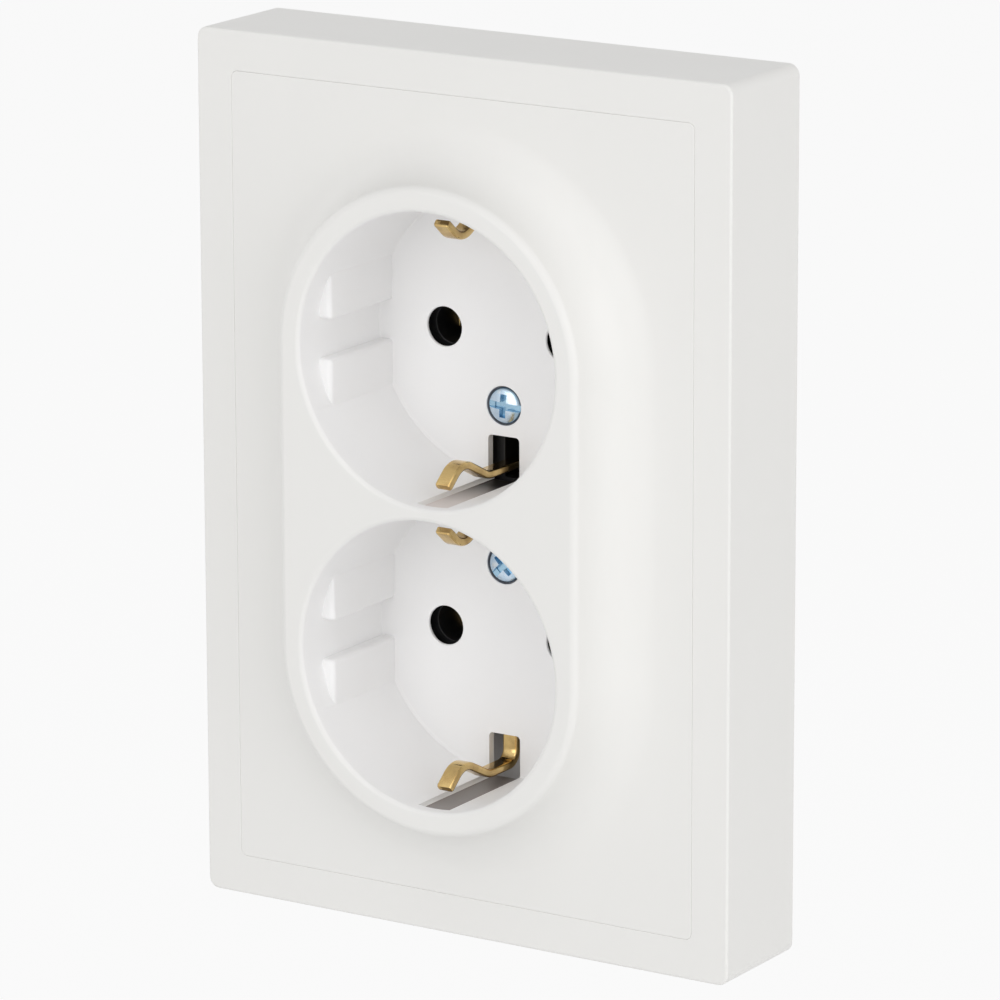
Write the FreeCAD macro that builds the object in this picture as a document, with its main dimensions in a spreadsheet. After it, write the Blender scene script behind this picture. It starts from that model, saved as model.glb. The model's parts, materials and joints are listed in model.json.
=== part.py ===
import FreeCAD, Part
import math
import os
import Sketcher
from types import SimpleNamespace

# Double earthed wall socket, type F, on one insert for a 60 mm wall box.
# +X is right and +Z is up as seen from the front, and the front faces -Y.
# The origin is on the wall plane, at the middle between the two box screws.
# A depth is counted from the wall plane towards the front, so y = -depth.

# Every driving dimension, in millimetres unless its name says degrees.
SIZES = {
    # cover frame
    "frame_width": 84.0,
    "frame_height": 122.0,
    "frame_depth": 17.5,
    "frame_wall": 2.2,
    "frame_corner": 1.6,
    "frame_arris": 0.5,
    "bezel_width": 5.6,
    "ledge_width": 2.0,
    "ledge_thickness": 1.6,
    "gusset_thickness": 1.0,
    "gusset_reach": 3.0,
    "gusset_drop": 9.0,
    "gusset_spacing": 34.0,
    # centre plate and its raised rim
    "seam_gap": 0.15,
    "plate_edge": 2.2,
    "plate_corner": 0.8,
    "plate_arris": 0.25,
    "shell_thickness": 2.0,
    "rim_rise": 8.5,
    "rim_radius": 23.6,
    "rim_arris": 0.4,
    "blend_radius": 7.4,
    "flare_middle": 0.7,
    # plug recesses
    "cup_pitch": 42.0,
    "cup_radius": 19.7,
    "cup_wall": 1.5,
    "cup_depth": 19.6,
    "mouth_radius": 19.9,
    "mouth_depth": 4.5,
    "mouth_bevel": 0.3,
    "floor_thickness": 1.2,
    "land_distance": 17.9,
    "land_gap": 5.5,
    "pin_spacing": 19.0,
    "pin_hole": 5.5,
    "slot_width": 5.0,
    "slot_start": 14.1,
    "slot_front": 1.8,
    "slot_corner": 0.6,
    "waist_web": 0.8,
    "waist_half_width": 6.0,
    "waist_half_height": 0.95,
    "plate_rib": 0.9,
    "plate_rib_depth": 5.5,
    # cover screws
    "screw_offset": 9.9,
    "screw_hole": 3.4,
    "screw_seat": 5.9,
    "screw_seat_depth": 0.8,
    "screw_head": 5.3,
    "screw_head_height": 1.1,
    "screw_thread": 3.0,
    "screw_length": 11.0,
    "screw_point": 0.6,
    "screw_bevel": 0.4,
    "screw_slot": 0.8,
    "screw_slot_depth": 0.7,
    "screw_cross": 3.2,
    "screw_boss": 8.0,
    "upper_screw_degrees": -4.0,
    "lower_screw_degrees": 45.0,
    # earth strap, earth bridge and their clips
    "strip_thickness": 1.1,
    "clip_width": 2.0,
    "clip_bend": 2.0,
    "clip_valley_bend": 2.5,
    "clip_apex_bend": 2.0,
    "clip_valley_radius": 18.35,
    "clip_apex_radius": 15.15,
    "clip_tip_radius": 18.1,
    "clip_valley_depth": 11.6,
    "clip_apex_depth": 18.0,
    "clip_tip_depth": 21.6,
    "strap_half_width": 5.0,
    "strap_window": 3.6,
    "strap_window_height": 8.2,
    "strap_end": 15.5,
    "strap_corner": 1.5,
    "thread_gap": 0.02,
    "thread_collar": 4.6,
    "thread_collar_depth": 1.5,
    "tab_start": 9.2,
    "tab_width": 4.0,
    "bridge_seat": 5.45,
    "bridge_arm_drop": 0.9,
    "bridge_arm_depth": 3.0,
    # insulating base
    "base_front": 4.0,
    "ring_thickness": 1.2,
    "flange_width": 51.0,
    "flange_height": 60.0,
    "flange_corner": 8.0,
    "block_radius": 27.8,
    "block_half_width": 18.6,
    "block_depth": 20.0,
    "front_wall": 5.0,
    "chamber_wall": 1.0,
    "part_gap": 0.3,
    "corner_play": 0.15,
    "bay_roof": 9.0,
    "bay_half_height": 8.5,
    "clip_passage_start": 0.6,
    "clip_passage_end": 6.5,
    "core_start": 15.0,
    "core_end": 21.5,
    "core_half_width": 4.6,
    "core_depth": 16.0,
    "cover_thickness": 2.0,
    "cover_screw_spacing": 48.8,
    "cover_screw_radius": 1.1,
    "cover_screw_head": 2.0,
    "cover_screw_length": 8.0,
    "post_start": 10.0,
    "post_length": 6.0,
    "post_thickness": 1.0,
    "foot_inset": 1.5,
    # pin contacts and terminals
    "contact_thickness": 0.8,
    "contact_gap": 4.4,
    "contact_height": 8.8,
    "contact_lead": 3.7,
    "contact_turn": 0.3,
    "terminal_half_height": 7.5,
    "terminal_reach": 17.8,
    "wire_hole": 3.0,
    "wire_offset": 2.1,
    "wire_spread": 9.6,
    "spring_thickness": 0.4,
    "spring_width": 14.0,
    "spring_reach": 4.8,
    "spring_bend": 1.0,
    "spring_loop": 2.4,
    "lever_width": 4.0,
    "lever_thickness": 3.0,
    "lever_nose": 16.1,
    "lever_collar": 6.0,
    "lever_stand": 1.3,
    "lever_play": 0.15,
    "lever_collar_depth": 1.3,
    "lever_collar_gap": 0.1,
    "lever_notch": 0.8,
    "lever_notch_depth": 0.6,
    # support ring, rivets and fixing claws
    "ring_inset_across": 0.4,
    "ring_inset_up": 10.4,
    "ring_corner": 8.0,
    "ring_gap": 0.4,
    "box_screw_spacing": 60.0,
    "box_slot_width": 3.8,
    "box_slot_length": 8.0,
    "rivet_inset_across": 5.0,
    "rivet_inset_up": 4.0,
    "rivet_radius": 1.5,
    "rivet_head": 2.5,
    "rivet_head_height": 0.8,
    "rivet_sink": 0.8,
    "claw_offset": 10.0,
    "claw_screw_across": 21.6,
    "claw_screw_radius": 1.75,
    "claw_screw_head": 2.8,
    "claw_screw_head_height": 1.8,
    "claw_screw_seat": 1.6,
    "claw_screw_length": 20.0,
    "claw_screw_clearance": 0.15,
    "nut_width": 5.0,
    "nut_height": 6.4,
    "nut_thickness": 3.0,
    "nut_depth": 15.5,
    "nut_play": 0.05,
    "claw_hinge_across": 24.9,
    "claw_hinge_depth": 2.2,
    "claw_pin_radius": 0.9,
    "claw_pin_clearance": 0.08,
    "claw_eye": 1.3,
    "claw_thickness": 1.2,
    "claw_width": 7.0,
    "claw_length": 17.5,
    "claw_hook": 0.9,
    "claw_cam_rise": 2.6,
    "claw_cam_start": 5.0,
    "claw_cam_peak": 8.2,
    "claw_cam_end": 12.0,
    "ear_thickness": 1.2,
    "ear_depth": 4.0,
    "ear_half_width": 1.7,
}

FRONT = "XZ_Plane"
SIDE = "YZ_Plane"
LEVEL = "XY_Plane"
NEAR = 1e-4
GUSSET_ROWS = 3


class Size:
    """A length that carries its number and the sheet expression that gives it."""

    def __init__(self, value, text):
        self.value = float(value)
        self.text = text

    def __add__(self, other):
        other = size(other)
        return Size(self.value + other.value, "(%s + %s)" % (self.text, other.text))

    def __radd__(self, other):
        return size(other) + self

    def __sub__(self, other):
        other = size(other)
        return Size(self.value - other.value, "(%s - %s)" % (self.text, other.text))

    def __rsub__(self, other):
        return size(other) - self

    def __neg__(self):
        return size(0) - self

    def __mul__(self, other):
        other = size(other)
        return Size(self.value * other.value, "(%s * %s)" % (self.text, other.text))

    def __rmul__(self, other):
        return size(other) * self

    def __truediv__(self, other):
        other = size(other)
        return Size(self.value / other.value, "(%s / %s)" % (self.text, other.text))


def size(number):
    """Give a plain number the form of a Size."""
    if isinstance(number, Size):
        return number
    return Size(number, "%.9g" % number if number >= 0 else "(0 - %.9g)" % -number)


def root(square):
    """Square root of a Size."""
    return Size(math.sqrt(square.value), "sqrt(%s)" % square.text)


def make_sheet(doc):
    """Write the driving dimensions into a sheet and hand them back by name."""
    sheet = doc.addObject("Spreadsheet::Sheet", "Size")
    sizes = {}
    for row, (name, value) in enumerate(SIZES.items(), start=1):
        sheet.set("A%d" % row, name)
        sheet.set("B%d" % row, str(value))
        sheet.setAlias("B%d" % row, name)
        sizes[name] = Size(value, "Size." + name)
    doc.recompute()
    return SimpleNamespace(**sizes)


def derive(s):
    """Work out the places that several pieces share from the driving dimensions."""
    s.plate_back = s.frame_depth - s.plate_edge
    s.ledge_back = s.plate_back - s.ledge_thickness
    s.opening_half_width = s.frame_width / 2 - s.bezel_width
    s.opening_half_height = s.frame_height / 2 - s.bezel_width
    s.rim_front = s.frame_depth + s.rim_rise
    s.cup_height = s.cup_pitch / 2
    s.floor_front = s.rim_front - s.cup_depth
    s.floor_back = s.floor_front - s.floor_thickness
    s.pin_across = s.pin_spacing / 2
    s.screw_height = s.cup_height - s.screw_offset
    s.slot_end = s.cup_height - s.waist_web / 2
    s.strap_front = s.base_front + s.strip_thickness
    s.strap_middle = s.base_front + s.strip_thickness / 2
    s.clip_valley_inner = s.cup_height - s.clip_valley_radius
    s.ring_opening = s.block_half_width + s.ring_gap
    s.ring_half_width = s.opening_half_width - s.ring_inset_across
    s.ring_half_height = s.opening_half_height - s.ring_inset_up
    s.rivet_across = s.flange_width / 2 - s.rivet_inset_across
    s.rivet_up = s.flange_height / 2 - s.rivet_inset_up
    s.block_back = -s.block_depth
    s.roof = s.base_front - s.front_wall
    s.leaf_offset = s.contact_gap / 2 + s.contact_thickness / 2
    s.contact_front = s.roof
    s.contact_back = s.contact_front - s.contact_height
    s.line_face = s.pin_across + s.leaf_offset + s.contact_thickness / 2
    s.earth_face = -(s.wire_offset + s.part_gap * 2)
    s.bay_wall = s.line_face + s.spring_reach + s.spring_thickness / 2
    s.bridge_front = -s.bridge_seat
    s.bridge_back = s.bridge_front - s.strip_thickness
    s.collar_back = s.block_back + s.lever_collar_gap
    s.arm_back = s.bridge_back - s.bridge_arm_drop - s.bridge_arm_depth
    s.tab_low = s.tab_start
    s.tab_high = s.tab_start + s.tab_width
    s.claw_face = s.claw_screw_across + s.nut_width / 2 + s.part_gap


def tie(item, field, length):
    """Set one field of an object and bind it to the sheet."""
    item.setExpression(field, length.text)


class Drawing:
    """A sketch whose points and radii are all tied to the sheet."""

    def __init__(self, body, name, plane, depth=0, across=0):
        depth, across = size(depth), size(across)
        self.sketch = body.newObject("Sketcher::SketchObject", name)
        self.support = next(item for item in body.Origin.OriginFeatures if item.Role == plane)
        self.sketch.AttachmentSupport = [(self.support, "")]
        self.sketch.MapMode = "FlatFace"
        offset = FreeCAD.Vector(across.value, 0, depth.value)
        self.sketch.AttachmentOffset = FreeCAD.Placement(offset, FreeCAD.Rotation())
        tie(self.sketch, "AttachmentOffset.Base.z", depth)
        tie(self.sketch, "AttachmentOffset.Base.x", across)
        self.rules = []
        self.bound = []

    def rule(self, kind, *where, length=None):
        """Note one constraint, with the size that drives it if it has one."""
        if length is None:
            self.rules.append(Sketcher.Constraint(kind, *where))
            return
        constraint = Sketcher.Constraint(kind, *where, length.value)
        constraint.Name = "drive%d" % len(self.bound)
        self.rules.append(constraint)
        self.bound.append((constraint.Name, length))

    def place(self, item, point, across, up):
        """Fix a point of a geometry item by its two coordinates."""
        self.rule("DistanceX", item, point, length=size(across))
        self.rule("DistanceY", item, point, length=size(up))

    def line(self, start, end):
        """Add a straight line between two numeric points."""
        return self.sketch.addGeometry(Part.LineSegment(vector(*start), vector(*end)), False)

    def arc(self, centre, radius, start, end):
        """Add an arc that runs anticlockwise between two angles in radians."""
        circle = Part.Circle(vector(*centre), FreeCAD.Vector(0, 0, 1), radius)
        return self.sketch.addGeometry(Part.ArcOfCircle(circle, start, end), False)

    def circle(self, across, up, radius):
        """Draw a full circle."""
        across, up = size(across), size(up)
        circle = Part.Circle(vector(across.value, up.value), FreeCAD.Vector(0, 0, 1), radius.value)
        item = self.sketch.addGeometry(circle, False)
        self.place(item, 3, across, up)
        self.rule("Radius", item, length=radius)

    def box(self, left, low, right, high, corner=None):
        """Draw a rectangle, with round corners where a radius is given."""
        points = [(left, low), (right, low), (right, high), (left, high)]
        if corner is not None:
            points = [point + (corner,) for point in points]
        self.run(points)

    def run(self, points, closed=True):
        """Draw straight lines through the points, rounding each that has a radius."""
        corners = [Corner(point) for point in points]
        count = len(corners)
        for index, corner in enumerate(corners):
            if closed or 0 < index < count - 1:
                corner.turn(corners[index - 1], corners[(index + 1) % count])
        pairs = [(index, (index + 1) % count) for index in range(count if closed else count - 1)]
        lines = [self.line(corners[a].leave, corners[b].reach) for a, b in pairs]
        for index, corner in enumerate(corners):
            if closed or 0 < index < count - 1:
                self.join(corner, lines[index - 1], lines[index])
        if not closed:
            self.place(lines[0], 1, corners[0].across, corners[0].up)
            self.place(lines[-1], 2, corners[-1].across, corners[-1].up)

    def join(self, corner, before, after):
        """Tie two lines together at a sharp or a rounded corner."""
        if corner.radius is None:
            self.rule("Coincident", before, 2, after, 1)
            self.place(after, 1, corner.across, corner.up)
            return
        bend = self.arc(corner.centre, corner.radius.value, *corner.angles)
        point = self.sketch.addGeometry(Part.Point(vector(*corner.spot)), True)
        start, end = (1, 2) if corner.left else (2, 1)
        self.rule("Tangent", before, 2, bend, start)
        self.rule("Tangent", bend, end, after, 1)
        self.rule("Radius", bend, length=corner.radius)
        self.place(point, 1, corner.across, corner.up)
        self.rule("PointOnObject", point, 1, before)
        self.rule("PointOnObject", point, 1, after)

    def stadium(self, radius, half_pitch):
        """Draw two half circles above each other, joined by straight sides."""
        r, p = radius.value, half_pitch.value
        top = self.arc((0, p), r, 0, math.pi)
        left = self.line((-r, p), (-r, -p))
        bottom = self.arc((0, -p), r, math.pi, 2 * math.pi)
        right = self.line((r, -p), (r, p))
        for first, end, second, start in ((top, 2, left, 1), (left, 2, bottom, 1),
                                          (bottom, 2, right, 1), (right, 2, top, 1)):
            self.rule("Tangent", first, end, second, start)
        self.place(top, 3, 0, half_pitch)
        self.place(bottom, 3, 0, -half_pitch)
        self.rule("Equal", top, bottom)
        self.rule("Radius", top, length=radius)

    def barrel(self, half_width, radius):
        """Draw a circle about the origin with its left and right sides cut straight."""
        edge = math.acos(half_width.value / radius.value)
        side, rise = half_width.value, radius.value * math.sin(edge)
        top = self.arc((0, 0), radius.value, edge, math.pi - edge)
        left = self.line((-side, rise), (-side, -rise))
        bottom = self.arc((0, 0), radius.value, math.pi + edge, 2 * math.pi - edge)
        right = self.line((side, -rise), (side, rise))
        for first, end, second, start in ((top, 2, left, 1), (left, 2, bottom, 1),
                                          (bottom, 2, right, 1), (right, 2, top, 1)):
            self.rule("Coincident", first, end, second, start)
        self.place(top, 3, 0, 0)
        self.place(bottom, 3, 0, 0)
        self.rule("Equal", top, bottom)
        self.rule("Radius", top, length=radius)
        for line, across in ((left, -half_width), (right, half_width)):
            self.rule("Vertical", line)
            self.rule("DistanceX", line, 1, length=across)

    def wedge(self, centre, radius, across, up, right, upper):
        """Draw the piece between a level line, an upright line and a circle."""
        x0, z0 = size(centre[0]), size(centre[1])
        dx, dz = across.value, up.value
        far_x = math.sqrt(radius.value ** 2 - dz ** 2) * right
        far_z = math.sqrt(radius.value ** 2 - dx ** 2) * upper
        corner = (x0.value + dx * right, z0.value + dz * upper)
        level_end = (x0.value + far_x, corner[1])
        upright_end = (corner[0], z0.value + far_z)
        level = self.line(corner, level_end)
        upright = self.line(corner, upright_end)
        angles = [math.atan2(end[1] - z0.value, end[0] - x0.value) for end in (level_end, upright_end)]
        turned = right * upper < 0
        if turned:
            angles.reverse()
        if angles[1] < angles[0]:
            angles[1] += 2 * math.pi
        rim = self.arc((x0.value, z0.value), radius.value, *angles)
        first, second = (2, 1) if turned else (1, 2)
        self.rule("Coincident", level, 1, upright, 1)
        self.rule("Coincident", level, 2, rim, first)
        self.rule("Coincident", upright, 2, rim, second)
        self.rule("Horizontal", level)
        self.rule("Vertical", upright)
        self.place(level, 1, x0 + across * right, z0 + up * upper)
        self.place(rim, 3, x0, z0)
        self.rule("Radius", rim, length=radius)

    def done(self):
        """Write the noted constraints into the sketch and bind them to the sheet."""
        self.sketch.addConstraint(self.rules)
        for name, length in self.bound:
            tie(self.sketch, "Constraints." + name, length)
        return self.sketch


class Corner:
    """A corner of a run of lines, with the arc that rounds it."""

    def __init__(self, point):
        self.across, self.up = size(point[0]), size(point[1])
        self.radius = point[2] if len(point) > 2 else None
        self.spot = (self.across.value, self.up.value)
        self.reach = self.leave = self.spot

    def turn(self, before, after):
        """Work out the arc's centre and its two ends."""
        if self.radius is None:
            return
        radius = self.radius.value
        into = direction(before.spot, self.spot)
        out = direction(self.spot, after.spot)
        cross = into[0] * out[1] - into[1] * out[0]
        bend = math.atan2(abs(cross), into[0] * out[0] + into[1] * out[1])
        setback = radius * math.tan(bend / 2)
        self.left = cross > 0
        side = 1 if self.left else -1
        self.reach = (self.spot[0] - into[0] * setback, self.spot[1] - into[1] * setback)
        self.leave = (self.spot[0] + out[0] * setback, self.spot[1] + out[1] * setback)
        self.centre = (self.reach[0] - into[1] * radius * side, self.reach[1] + into[0] * radius * side)
        ends = [self.reach, self.leave] if self.left else [self.leave, self.reach]
        angles = [math.atan2(end[1] - self.centre[1], end[0] - self.centre[0]) for end in ends]
        if angles[1] < angles[0]:
            angles[1] += 2 * math.pi
        self.angles = angles


def vector(across, up):
    """A point on a sketch's own plane."""
    return FreeCAD.Vector(across, up, 0)


def direction(start, end):
    """Unit direction from one plane point to another."""
    length = math.hypot(end[0] - start[0], end[1] - start[1])
    return ((end[0] - start[0]) / length, (end[1] - start[1]) / length)


def new_body(doc, name):
    """Start the body of one piece."""
    body = doc.addObject("PartDesign::Body", name)
    body.Label = name
    return body


def plane_of(body, role):
    """One of a body's own origin planes or axes, by its role."""
    return next(item for item in body.Origin.OriginFeatures if item.Role == role)


def pad(body, name, drawing, length, back=False):
    """Raise a drawing towards its plane's normal, or away from it."""
    feature = body.newObject("PartDesign::Pad", name)
    feature.Profile = drawing.done()
    tie(feature, "Length", length)
    feature.Reversed = back
    return settle(body, feature)


def pocket(body, name, drawing, length, along=False):
    """Cut a drawing against its plane's normal, or along it."""
    feature = body.newObject("PartDesign::Pocket", name)
    feature.Profile = drawing.done()
    tie(feature, "Length", length)
    feature.Reversed = along
    return settle(body, feature)


def revolve(body, name, drawing):
    """Turn a drawing on the level plane about the body's own Y axis."""
    feature = body.newObject("PartDesign::Revolution", name)
    feature.Profile = drawing.done()
    feature.ReferenceAxis = (drawing.sketch, ["V_Axis"])
    feature.Angle = 360
    return settle(body, feature)


def sweep(body, name, profile, path, cut=False):
    """Carry a closed profile along a path."""
    kind = "PartDesign::SubtractivePipe" if cut else "PartDesign::AdditivePipe"
    feature = body.newObject(kind, name)
    feature.Profile = profile.done()
    feature.Spine = (path.done(), [])
    feature.Transition = "Right corner"
    return settle(body, feature)


def mirror(body, name, originals, role):
    """Repeat features on the other side of one of the body's planes."""
    feature = body.newObject("PartDesign::Mirrored", name)
    feature.Originals = originals
    feature.MirrorPlane = (plane_of(body, role), [""])
    return settle(body, feature)


def rounded(body, name, base, radius, test):
    """Round the edges of a feature that pass a test."""
    feature = body.newObject("PartDesign::Fillet", name)
    feature.Base = (base, edge_names(base.Shape, test))
    tie(feature, "Radius", radius)
    return settle(body, feature)


def chamfered(body, name, base, width, test):
    """Bevel the edges of a feature that pass a test."""
    feature = body.newObject("PartDesign::Chamfer", name)
    feature.Base = (base, edge_names(base.Shape, test))
    tie(feature, "Size", width)
    return settle(body, feature)


def settle(body, feature):
    """Recompute a new feature and make it the body's result."""
    body.Tip = feature
    body.Document.recompute()
    return feature


def edge_names(shape, test):
    """Names of the edges of a shape that pass a test."""
    return ["Edge%d" % (index + 1) for index, edge in enumerate(shape.Edges) if test(edge)]


def at_depth(depth):
    """Test for edges that lie wholly at one depth."""
    def test(edge):
        box = edge.BoundBox
        return abs(box.YMin + depth.value) < NEAR and abs(box.YMax + depth.value) < NEAR
    return test


def ring_edge(depth, radius):
    """Test for circular edges of one radius at one depth."""
    level = at_depth(depth)

    def test(edge):
        return level(edge) and abs(getattr(edge.Curve, "Radius", 0) - radius.value) < NEAR
    return test


def cover_frame(doc, s):
    """The deep outer frame: a box open at the back, with a rebated opening."""
    body = new_body(doc, "cover_frame")
    half_width, half_height = s.frame_width / 2, s.frame_height / 2
    outline = Drawing(body, "frame_outline", FRONT)
    outline.box(-half_width, -half_height, half_width, half_height, s.frame_corner)
    block = pad(body, "frame_block", outline, s.frame_depth)
    rounded(body, "frame_soft_front", block, s.frame_arris, at_depth(s.frame_depth))
    cavity = Drawing(body, "frame_cavity_outline", FRONT)
    cavity.box(s.frame_wall - half_width, s.frame_wall - half_height,
               half_width - s.frame_wall, half_height - s.frame_wall)
    pocket(body, "frame_cavity", cavity, s.ledge_back, along=True)
    inner_width = s.opening_half_width - s.ledge_width
    inner_height = s.opening_half_height - s.ledge_width
    opening = Drawing(body, "frame_opening_outline", FRONT, s.frame_depth)
    opening.box(-inner_width, -inner_height, inner_width, inner_height)
    pocket(body, "frame_opening", opening, s.frame_depth - s.ledge_back)
    rebate = Drawing(body, "frame_rebate_outline", FRONT, s.frame_depth)
    rebate.box(-s.opening_half_width, -s.opening_half_height,
               s.opening_half_width, s.opening_half_height, s.plate_corner + s.seam_gap)
    pocket(body, "frame_rebate", rebate, s.plate_edge)
    inside = half_width - s.frame_wall
    ribs = []
    for name, side in (("right", 1), ("left", -1)):
        gusset = Drawing(body, "gusset_outline_" + name, LEVEL, -s.gusset_spacing - s.gusset_thickness / 2)
        gusset.run([((inside - s.gusset_reach) * side, -s.ledge_back), (inside * side, -s.ledge_back),
                    (inside * side, s.gusset_drop - s.ledge_back)])
        ribs.append(pad(body, "gusset_" + name, gusset, s.gusset_thickness))
    row = body.newObject("PartDesign::LinearPattern", "gusset_rows")
    row.Originals = ribs
    row.Direction = (plane_of(body, "Z_Axis"), [""])
    row.Occurrences = GUSSET_ROWS
    tie(row, "Length", s.gusset_spacing * (GUSSET_ROWS - 1))
    settle(body, row)
    return body


def centre_plate(doc, s):
    """The plate with its raised stadium rim and the two plug recesses."""
    body = new_body(doc, "centre_plate")
    plate_shell(body, s)
    waist = Drawing(body, "waist_outline", FRONT, s.floor_back)
    waist.box(-s.waist_half_width, -s.waist_half_height, s.waist_half_width, s.waist_half_height)
    pad(body, "waist", waist, s.rim_front - s.shell_thickness / 2 - s.floor_back)
    upper = upper_recess(body, s)
    both = mirror(body, "lower_recess", upper, LEVEL)
    chamfered(body, "mouth_bevels", both, s.mouth_bevel, ring_edge(s.rim_front, s.mouth_radius))
    return body


def plate_shell(body, s):
    """The thin plate and the hollow raised rim with its wide concave foot."""
    half_width = s.opening_half_width - s.seam_gap
    half_height = s.opening_half_height - s.seam_gap
    outline = Drawing(body, "plate_outline", FRONT, s.plate_back)
    outline.box(-half_width, -half_height, half_width, half_height, s.plate_corner)
    plate = pad(body, "plate", outline, s.plate_edge)
    chamfered(body, "plate_bevel", plate, s.plate_arris, at_depth(s.frame_depth))
    rib = Drawing(body, "rear_rib_outline", FRONT, s.plate_back)
    outer_width = s.opening_half_width - s.ledge_width - s.part_gap
    outer_height = s.opening_half_height - s.ledge_width - s.part_gap
    inner_width, inner_height = outer_width - s.plate_rib, outer_height - s.plate_rib
    rib.box(-outer_width, -outer_height, outer_width, outer_height)
    rib.box(-inner_width, -inner_height, inner_width, inner_height)
    pad(body, "rear_rib", rib, s.plate_rib_depth, back=True)
    rim = Drawing(body, "rim_outline", FRONT, s.frame_depth)
    rim.stadium(s.rim_radius, s.cup_height)
    raised = pad(body, "rim_block", rim, s.rim_rise)

    def rim_foot(edge):
        box = edge.BoundBox
        beside = max(abs(box.XMin), abs(box.XMax)) < s.rim_radius.value + NEAR
        below = max(abs(box.ZMin), abs(box.ZMax)) < s.cup_height.value + s.rim_radius.value + NEAR
        return at_depth(s.frame_depth)(edge) and beside and below

    blend = rounded(body, "rim_blend", raised, s.blend_radius, rim_foot)
    chamfered(body, "rim_bevel", blend, s.rim_arris, at_depth(s.rim_front))
    core_radius = s.rim_radius - s.shell_thickness
    core_top = s.rim_front - s.shell_thickness
    hollow = Drawing(body, "rear_hollow_outline", FRONT, s.plate_back)
    hollow.stadium(core_radius, s.cup_height)
    pocket(body, "rear_hollow", hollow, core_top - s.plate_back, along=True)
    across = s.rim_radius + s.blend_radius
    path = Drawing(body, "flare_path", FRONT, s.plate_back)
    path.stadium(across, s.cup_height)
    section = flare_section(body, s, across, core_radius, core_top)
    sweep(body, "flare_hollow", section, path, cut=True)


def flare_section(body, s, across, core_radius, core_top):
    """Section of the hollow behind the concave foot, about one shell's thickness away from it."""
    radius = s.blend_radius + s.shell_thickness
    centre_depth = s.frame_depth + s.blend_radius
    drop = centre_depth - core_top
    top_across = across - root(radius * radius - drop * drop)
    middle_across = across - radius * s.flare_middle
    middle_depth = centre_depth - radius * s.flare_middle
    low = s.plate_back - s.shell_thickness
    inner = core_radius - s.shell_thickness / 2
    section = Drawing(body, "flare_section", LEVEL, s.cup_height)
    section.run([(inner, -low), (across, -low), (across, -s.plate_back), (middle_across, -middle_depth),
                 (top_across, -core_top), (inner, -core_top)])
    return section


def upper_recess(body, s):
    """The upper plug recess, feature by feature, so that it can be mirrored whole."""
    core_top = s.rim_front - s.shell_thickness
    cup = Drawing(body, "cup_wall_outline", FRONT, s.floor_back)
    cup.circle(0, s.cup_height, s.cup_radius + s.cup_wall)
    features = [pad(body, "cup_wall", cup, core_top + s.shell_thickness / 2 - s.floor_back)]
    boss = Drawing(body, "screw_boss_outline", FRONT, s.strap_front)
    boss.circle(0, s.screw_height, s.screw_boss / 2)
    features.append(pad(body, "screw_boss", boss, s.floor_back + s.floor_thickness / 2 - s.strap_front))
    inside = Drawing(body, "cup_outline", FRONT, s.rim_front)
    inside.circle(0, s.cup_height, s.cup_radius)
    features.append(pocket(body, "cup_hollow", inside, s.cup_depth))
    mouth = Drawing(body, "mouth_outline", FRONT, s.rim_front)
    mouth.circle(0, s.cup_height, s.mouth_radius)
    features.append(pocket(body, "cup_mouth", mouth, s.mouth_depth))
    land = Drawing(body, "land_outline", FRONT, s.floor_front)
    for right in (1, -1):
        for upper in (1, -1):
            land.wedge((0, s.cup_height), s.cup_radius + s.cup_wall / 2,
                       s.land_distance, s.land_gap / 2, right, upper)
    features.append(pad(body, "guide_lands", land, s.cup_depth - s.mouth_depth))
    pins = Drawing(body, "pin_outline", FRONT, s.floor_front)
    for right in (1, -1):
        pins.circle(s.pin_across * right, s.cup_height, s.pin_hole / 2)
    features.append(pocket(body, "pin_holes", pins, s.floor_thickness))
    seat = Drawing(body, "screw_seat_outline", FRONT, s.floor_front)
    seat.circle(0, s.screw_height, s.screw_seat / 2)
    features.append(pocket(body, "screw_seat", seat, s.screw_seat_depth))
    hole = Drawing(body, "screw_hole_outline", FRONT, s.floor_front)
    hole.circle(0, s.screw_height, s.screw_hole / 2)
    features.append(pocket(body, "screw_hole", hole, s.floor_front - s.strap_front))
    slots = Drawing(body, "slot_outline", FRONT, s.rim_front - s.slot_front)
    half = s.slot_width / 2
    slots.box(-half, s.cup_height + s.slot_start, half, s.cup_height + s.slot_end, s.slot_corner)
    slots.box(-half, s.cup_height - s.slot_end, half, s.cup_height - s.slot_start, s.slot_corner)
    features.append(pocket(body, "clip_slots", slots, s.rim_front - s.slot_front - s.floor_back))
    return features


def cover_screw(doc, s, name, upper, turn):
    """A zinc-plated screw that holds the centre plate to the earth strap."""
    body = new_body(doc, name)
    seat = s.floor_front - s.screw_seat_depth
    top = seat + s.screw_head_height
    head, thread = s.screw_head / 2, s.screw_thread / 2
    section = Drawing(body, name + "_section", LEVEL)
    section.run([(0, -top), (head - s.screw_bevel, -top), (head, s.screw_bevel - top),
                 (head, -seat), (thread, -seat),
                 (thread, s.screw_length - s.screw_point - seat),
                 (thread - s.screw_point, s.screw_length - seat), (0, s.screw_length - seat)])
    revolve(body, name + "_turned", section)
    slot = Drawing(body, name + "_slot_outline", FRONT, top)
    slot.box(-head, -s.screw_slot / 2, head, s.screw_slot / 2)
    pocket(body, name + "_slot", slot, s.screw_slot_depth)
    cross = Drawing(body, name + "_cross_outline", FRONT, top)
    reach = s.screw_cross / 2
    cross.box(-s.screw_slot / 2, -reach, s.screw_slot / 2, reach)
    pocket(body, name + "_cross", cross, s.screw_slot_depth)
    spin = FreeCAD.Rotation(FreeCAD.Vector(0, 1, 0), turn.value)
    body.Placement = FreeCAD.Placement(FreeCAD.Vector(), spin)
    tie(body, "Placement.Base.z", s.screw_height * upper)
    return body


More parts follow.
